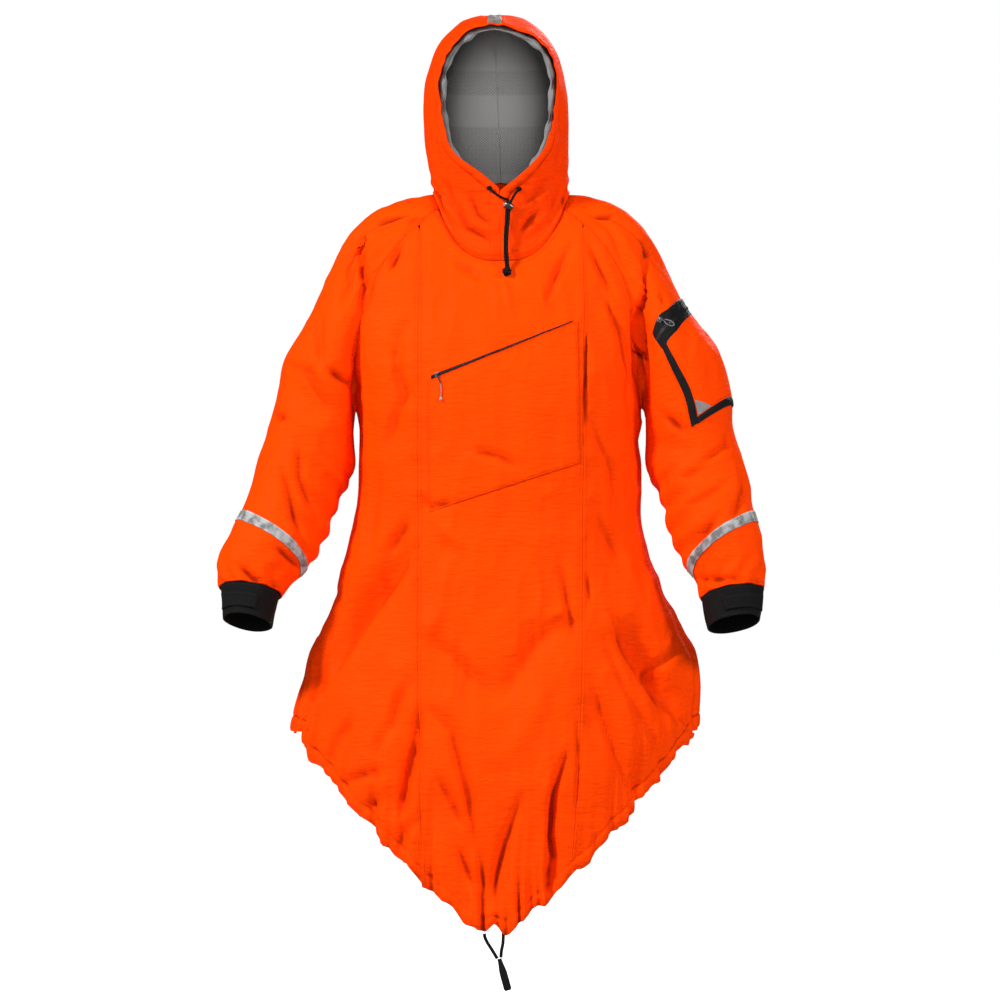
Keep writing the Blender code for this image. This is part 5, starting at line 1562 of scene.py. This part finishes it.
def nylon(name, lit, deep, stitch=0.0052, second=0.0, seam_shade=0.45):
    """Coated nylon with a line of stitches, and a second line where one is asked for."""
    material, tree, shader = new_material(name, 0.62, specular=0.02)
    place, sewn = place_of(tree), place_of(tree, "stitch")
    dye = use_group(tree, dye_group, Place=place, Scale=9.0)
    streaks = use_group(tree, streak_group, Place=place)["Height"]
    weave = use_group(tree, weave_group, Cloth=place_of(tree, "cloth"), Thread=0.0007)["Height"]
    line = use_group(tree, stitch_group, Stitch=sewn, Distance=stitch)
    seam = use_group(tree, stitch_group, Stitch=sewn, Distance=0.0, Half_width=0.0005)["Dent"]
    crease_shade = tree.nodes.new("ShaderNodeAttribute")
    crease_shade.attribute_name = "crease_shade"
    colour = blend(dye["Cloudy"], lit, deep)
    # Painted shade along the seams and in the stitch dents.
    colour = blend(seam * seam_shade + line["Dent"] * DENT_SHADE, colour, SEAM_SHADE_COLOUR)
    colour = blend(line["Thread"] * THREAD_SHADE, colour, THREAD_COLOUR)
    # Painted shade in the hollows of creases.
    colour = blend(Field(tree, crease_shade.outputs["Fac"]) * VALLEY_SHADE, colour, CREASE_SHADE_COLOUR)
    height = weave * WEAVE_HEIGHT + streaks * STREAK_HEIGHT
    height = height - line["Dent"] * DENT_DEPTH + line["Thread"] * THREAD_HEIGHT
    if second:
        hem = use_group(tree, stitch_group, Stitch=sewn, Distance=second)
        height = height - hem["Dent"] * SECOND_DENT + hem["Thread"] * SECOND_THREAD
    finish(shader, colour, height, NYLON_BUMP, 0.8, dye["Fine"] * 0.16 + 0.54)
    return material


orange_cloth = nylon("orange nylon", ORANGE_LIT, ORANGE_DEEP, second=0.0085)
orange_hood = nylon("orange hood nylon", HOOD_LIT, HOOD_DEEP, stitch=0.0165, seam_shade=0.12)
orange_patch = nylon("orange patch nylon", ORANGE_LIT, ORANGE_DEEP, stitch=0.0035)

# %% [markdown]
# ## Grey lining
# The lining is smooth grey cloth with bands of open mesh. The mesh is a pattern of small dark
# holes. The bands run level round the hood, so height tells where they are, and the lining
# darkens towards the opening's edge, where the hood shades it.

# %% Lining
LINING_LIGHT = (0.86, 0.86, 0.85)
LINING_GREY = (0.74, 0.74, 0.73)
LINING_DARK = (0.22, 0.22, 0.225)
LINING_SHADE = (0.05, 0.05, 0.05)
MESH_BANDS = ((0.193, 0.020), (0.085, 0.040))
BAND_SHARPNESS = 400.0
HOLE_PITCH = 0.0042
SHADE_MIDDLE = (-0.006, 0.14)
SHADE_REACH = (0.085, 0.14)


def lining_material(name):
    material, tree, shader = new_material(name, 0.85, specular=0.1)
    place = place_of(tree)
    x, _, z = split(place)
    holes = wave_of(x + z, HOLE_PITCH) * wave_of(x - z, HOLE_PITCH)
    far_x, far_z = [((value - middle) / reach).squared()
                    for value, middle, reach in zip((x, z), SHADE_MIDDLE, SHADE_REACH)]
    upper, lower = [(((z - middle).size() - half) * -BAND_SHARPNESS).at_least(0.0).at_most(1.0)
                    for middle, half in MESH_BANDS]
    open_mesh = holes * ((upper + lower) * 0.75 + 0.25)
    dye = use_group(tree, dye_group, Place=place, Scale=12.0)
    colour = blend(dye["Cloudy"], LINING_LIGHT, LINING_GREY)
    colour = blend(open_mesh * 0.85, colour, LINING_DARK)
    colour = blend((far_x + far_z).at_most(1.0) * 0.9, colour, LINING_SHADE)
    finish(shader, colour, dye["Fine"] * 0.4 - open_mesh, 0.0008, 0.6)
    return material


grey_mesh = lining_material("grey hood mesh")

# %% Plain woven greys and blacks
def grey(value):
    return (value, value, value)


def woven(name, colour, other, thread, roughness, distance=0.0003, specular=0.2, stitch=0.0,
          mottle=1.0):
    """Plain cloth or tape of two mixed colours, with a line of stitches where one is asked for."""
    material, tree, shader = new_material(name, roughness, specular=specular)
    dye = use_group(tree, dye_group, Place=place_of(tree), Scale=30.0 * mottle)
    weave = use_group(tree, weave_group, Cloth=place_of(tree, "cloth"), Thread=thread)["Height"]
    cloudy = ((dye["Cloudy"] - 0.5) * (2 * mottle) + 0.5).at_least(0.0).at_most(1.0)
    mixed = blend(cloudy, colour, other)
    height = weave + dye["Fine"] * 0.6
    if stitch:
        line = use_group(tree, stitch_group, Stitch=place_of(tree, "stitch"), Distance=stitch,
                         Length=0.003, Half_width=0.0005)
        paler = tuple(min(1.0, 2.4 * value + 0.01) for value in colour)
        mixed = blend(line["Thread"] * 0.6, mixed, paler)
        height = height - line["Dent"]
    finish(shader, mixed, height, distance, 0.6, dye["Fine"] * 0.14 + (roughness - 0.07))
    return material


grey_facing = woven("grey facing knit", grey(0.26), grey(0.17), 0.0011, 0.9, specular=0.1)
silver_tape = woven("reflective tape", grey(0.40), grey(0.15), 0.0009, 0.5, specular=0.15,
                    stitch=0.0016, mottle=2.5)
crown_grey = woven("crown reflective tape", (0.24, 0.21, 0.19), (0.10, 0.09, 0.08), 0.0009, 0.5,
                   stitch=0.0016)
corner_grey = woven("corner reflective tape", grey(0.26), grey(0.18), 0.0009, 0.5)
black_rubber = woven("black neoprene", grey(0.006), grey(0.004), 0.0014, 0.8, 0.0004,
                     specular=0.1, stitch=0.0035)
black_tape = woven("black binding", grey(0.006), grey(0.004), 0.0008, 0.6,
                   specular=0.12, stitch=0.002)
black_knot = woven("black knotted cord", grey(0.008), grey(0.004), 0.0011, 0.75, specular=0.1)

# %% Cords, plastic and metal
def braided(name, colour, gap_colour, turns, pitch):
    material, tree, shader = new_material(name, 0.75, specular=0.08)
    braid = use_group(tree, braid_group, Around=place_of(tree, "UVMap"), Turns=turns, Pitch=pitch)
    finish(shader, blend(braid["Gap"], colour, gap_colour), braid["Height"], 0.0003, 0.8)
    return material


def hard(name, colour, worn, roughness, metallic=0.0):
    """Plastic or metal, slightly worn in places."""
    material, tree, shader = new_material(name, roughness, metallic, coat=0.05)
    dye = use_group(tree, dye_group, Place=place_of(tree), Scale=160.0)
    finish(shader, blend(dye["Cloudy"].squared(), colour, worn), dye["Fine"], 0.0001, 0.4,
           dye["Fine"] * 0.2 + (roughness - 0.1))
    return material


black_braid = braided("black braided cord", grey(0.007), grey(0.002), 4.0, 22.0)
grey_braid = braided("grey pull cord", (0.30, 0.30, 0.31), grey(0.10), 4.0, 16.0)
grey_knob = hard("grey pull knob", grey(0.30), grey(0.22), 0.5)
black_plastic = hard("black moulded plastic", grey(0.006), grey(0.013), 0.42)
dark_metal = hard("dark slider metal", (0.10, 0.10, 0.11), (0.26, 0.26, 0.27), 0.34, 0.9)
silver_metal = hard("silver button metal", (0.62, 0.62, 0.64), (0.46, 0.46, 0.48), 0.3, 0.9)

# %% [markdown]
# ## Dressing the pieces
# Each new piece gets its finish, rides on its body and stands for its solid. The imported nodes
# that stay get a finish of their own in place of their plain one.

# %% How a piece is set on the garment
def declare(sheet, size, held, node, slot="orange_cloth", extra=()):
    """Ride on the garment and stand for a solid."""
    settle(sheet, slot, node)
    width, length, area = size
    min(area, width * length)


def settle(piece, slot, *nodes):
    """Ride on the garment and stand for solids, or for none where a piece only adds detail."""
    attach(piece, "garment")
    if nodes:
        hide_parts(*nodes)
    print(piece.name, "stands for", nodes)

# %% Finishes and places
for sheet, size, node in body_sheets:
    dress(orange_cloth, sheet)
    extra = (chest_tape, chest_teeth) if node == "front_centre" else ()
    declare(sheet, size, "hung", node, extra=extra)
dress(orange_patch, chest_patch, arm_patch)
dress(crown_grey, tape)
dress(corner_grey, arm_corner)
dress(black_tape, chest_tape, arm_tape, *bindings)
dress(black_plastic, chest_teeth, arm_teeth)
dress(black_knot, knot, hem_strap, *eyelet_knots)
for side, word in SIDES:
    arm_bits = [bands[side][0]]
    if side > 0:
        arm_bits += [arm_tape, arm_teeth, arm_corner, *bindings]
    for cloth, made, held, node, slot, extra in (
            (orange_cloth, sleeves[side], "hung", "sleeve_", "orange_cloth", arm_bits),
            (black_rubber, cuffs[side], "stretched", "cuff_", "cuff_neoprene", [tabs[side][0]]),
            (orange_hood, hoods[side], "hung", "hood_", "orange_cloth", [tape] if side > 0 else ()),
            (grey_mesh, linings[side], "hung", "hood_lining_", "grey_lining", [facings[side][0]])):
        dress(cloth, made[0])
        declare(*made, held, node + word, slot, extra)
    dress(black_rubber, tabs[side][0])
    dress(silver_tape, bands[side][0])
    dress(grey_facing, facings[side][0])
    settle(tabs[side][0], "cuff_neoprene", "cuff_tab_" + word)
    settle(bands[side][0], "reflective_tape", "sleeve_band_" + word)
    settle(facings[side][0], "grey_lining")
declare(chest_patch, chest_size, "laid", "chest_pocket")
declare(arm_patch, arm_size, "laid", "sleeve_pocket")

settle(tape, "reflective_tape", "hood_tape")
settle(arm_corner, "reflective_tape", "sleeve_triangle")
settle(chest_tape, "black_tape", "chest_zip")
settle(arm_tape, "black_tape", "sleeve_zip")
for binding, word in zip(bindings, SLEEVE_POCKET_BINDINGS):
    settle(binding, "black_tape", "sleeve_pocket_binding_" + word)
settle(chest_teeth, "black_tape")
settle(arm_teeth, "black_tape")
settle(knot, "black_cord", "neck_cord_knot")
settle(hem_strap, "black_cord", "hem_pull_tab")
for eyelet_knot in eyelet_knots:
    settle(eyelet_knot, "black_cord")

# %% Finishing the cords and setting them on the garment
lock = [bpy.data.objects["cord_lock"], bpy.data.objects["cord_lock_button"]]
for name, (cord, length, path) in cords.items():
    dress(black_braid, cord)
    left = name.endswith("left")
    if name.startswith("neck"):
        nodes, radius, end = (name + "_upper", name + "_lower"), CORD_RADIUS, "knot"
        extra = [eyelet_knots[0], *lock, knot] if left else [eyelet_knots[1]]
    else:
        nodes, radius, end = (name,), HEM_CORD_RADIUS, "fitting" if left else "object"
        extra = [hem_strap] if left else []
    settle(cord, "black_cord", *nodes)
    2 * radius * METRE

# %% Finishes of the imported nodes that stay
NODE_FINISHES = (
    (dark_metal, "chest_slider chest_slider_bridge sleeve_slider sleeve_slider_bridge sleeve_pull"),
    (black_plastic, "chest_pull eyelet_left eyelet_right cord_lock"),
    (grey_braid, "chest_pull_cord sleeve_pull_cord"),
    (grey_knob, "chest_pull_knob"),
    (silver_metal, "cord_lock_button"))
for material, names in NODE_FINISHES:
    for name in names.split():
        for slot in bpy.data.objects[name].material_slots:
            slot.material = material
        print("finished", name)

# %% [markdown]
# ## Floor and light
# The photograph has a plain white ground and soft light, stronger from above and the left. The
# world and the floor are white to the camera but give little light, because much light bounced
# from below would wash the colour out. Large area lights shape the folds.

# %% Studio
FLOOR_HEIGHT = -1.32
FLOOR_SIZE = 60
WORLD_STRENGTH = 0.07
LIGHT_TARGET = (0, 0, -0.4)
LIGHTS = (
    ("key light", (-3.3, -2.5, 2.5), 0.6, 300.0),
    ("second light", (3.4, -2.2, 1.8), 0.6, 120.0),
    ("front light", (0.0, -4.0, 0.6), 1.2, 42.0),
    ("back light", (1.4, 3.8, 1.8), 0.9, 150.0))


def camera_sees(tree):
    return Field(tree, tree.nodes.new("ShaderNodeLightPath").outputs["Is Camera Ray"])


bpy.ops.object.select_all(action="DESELECT")
bpy.ops.mesh.primitive_plane_add(size=FLOOR_SIZE, location=(0, 0, FLOOR_HEIGHT))
floor = bpy.context.object
floor.name = "studio_floor"
pale, tree, shader = new_material("pale floor", 0.9, specular=0.1)
shader["Base Color"].default_value = (0.5, 0.5, 0.5, 1)
shader["Emission Color"].default_value = (1, 1, 1, 1)
feed(tree, camera_sees(tree), shader["Emission Strength"])
dress(pale, floor)
for name, place, size, power in LIGHTS:
    light = bpy.data.lights.new(name, "AREA")
    light.size = size
    light.energy = power
    lamp = bpy.data.objects.new(name, light)
    lamp.location = place
    lamp.rotation_euler = (Vector(LIGHT_TARGET) - Vector(place)).to_track_quat("-Z", "Y").to_euler()
    bpy.context.scene.collection.objects.link(lamp)
    print(name, power, "W")

# %% World
world = bpy.data.worlds.new("studio")
bpy.context.scene.world = world
world.use_nodes = True
background = world.node_tree.nodes["Background"].inputs
background["Color"].default_value = (1, 1, 1, 1)
strength = camera_sees(world.node_tree) * (1.0 - WORLD_STRENGTH) + WORLD_STRENGTH
feed(world.node_tree, strength, background["Strength"])
bpy.context.scene.view_settings.view_transform = "Standard"
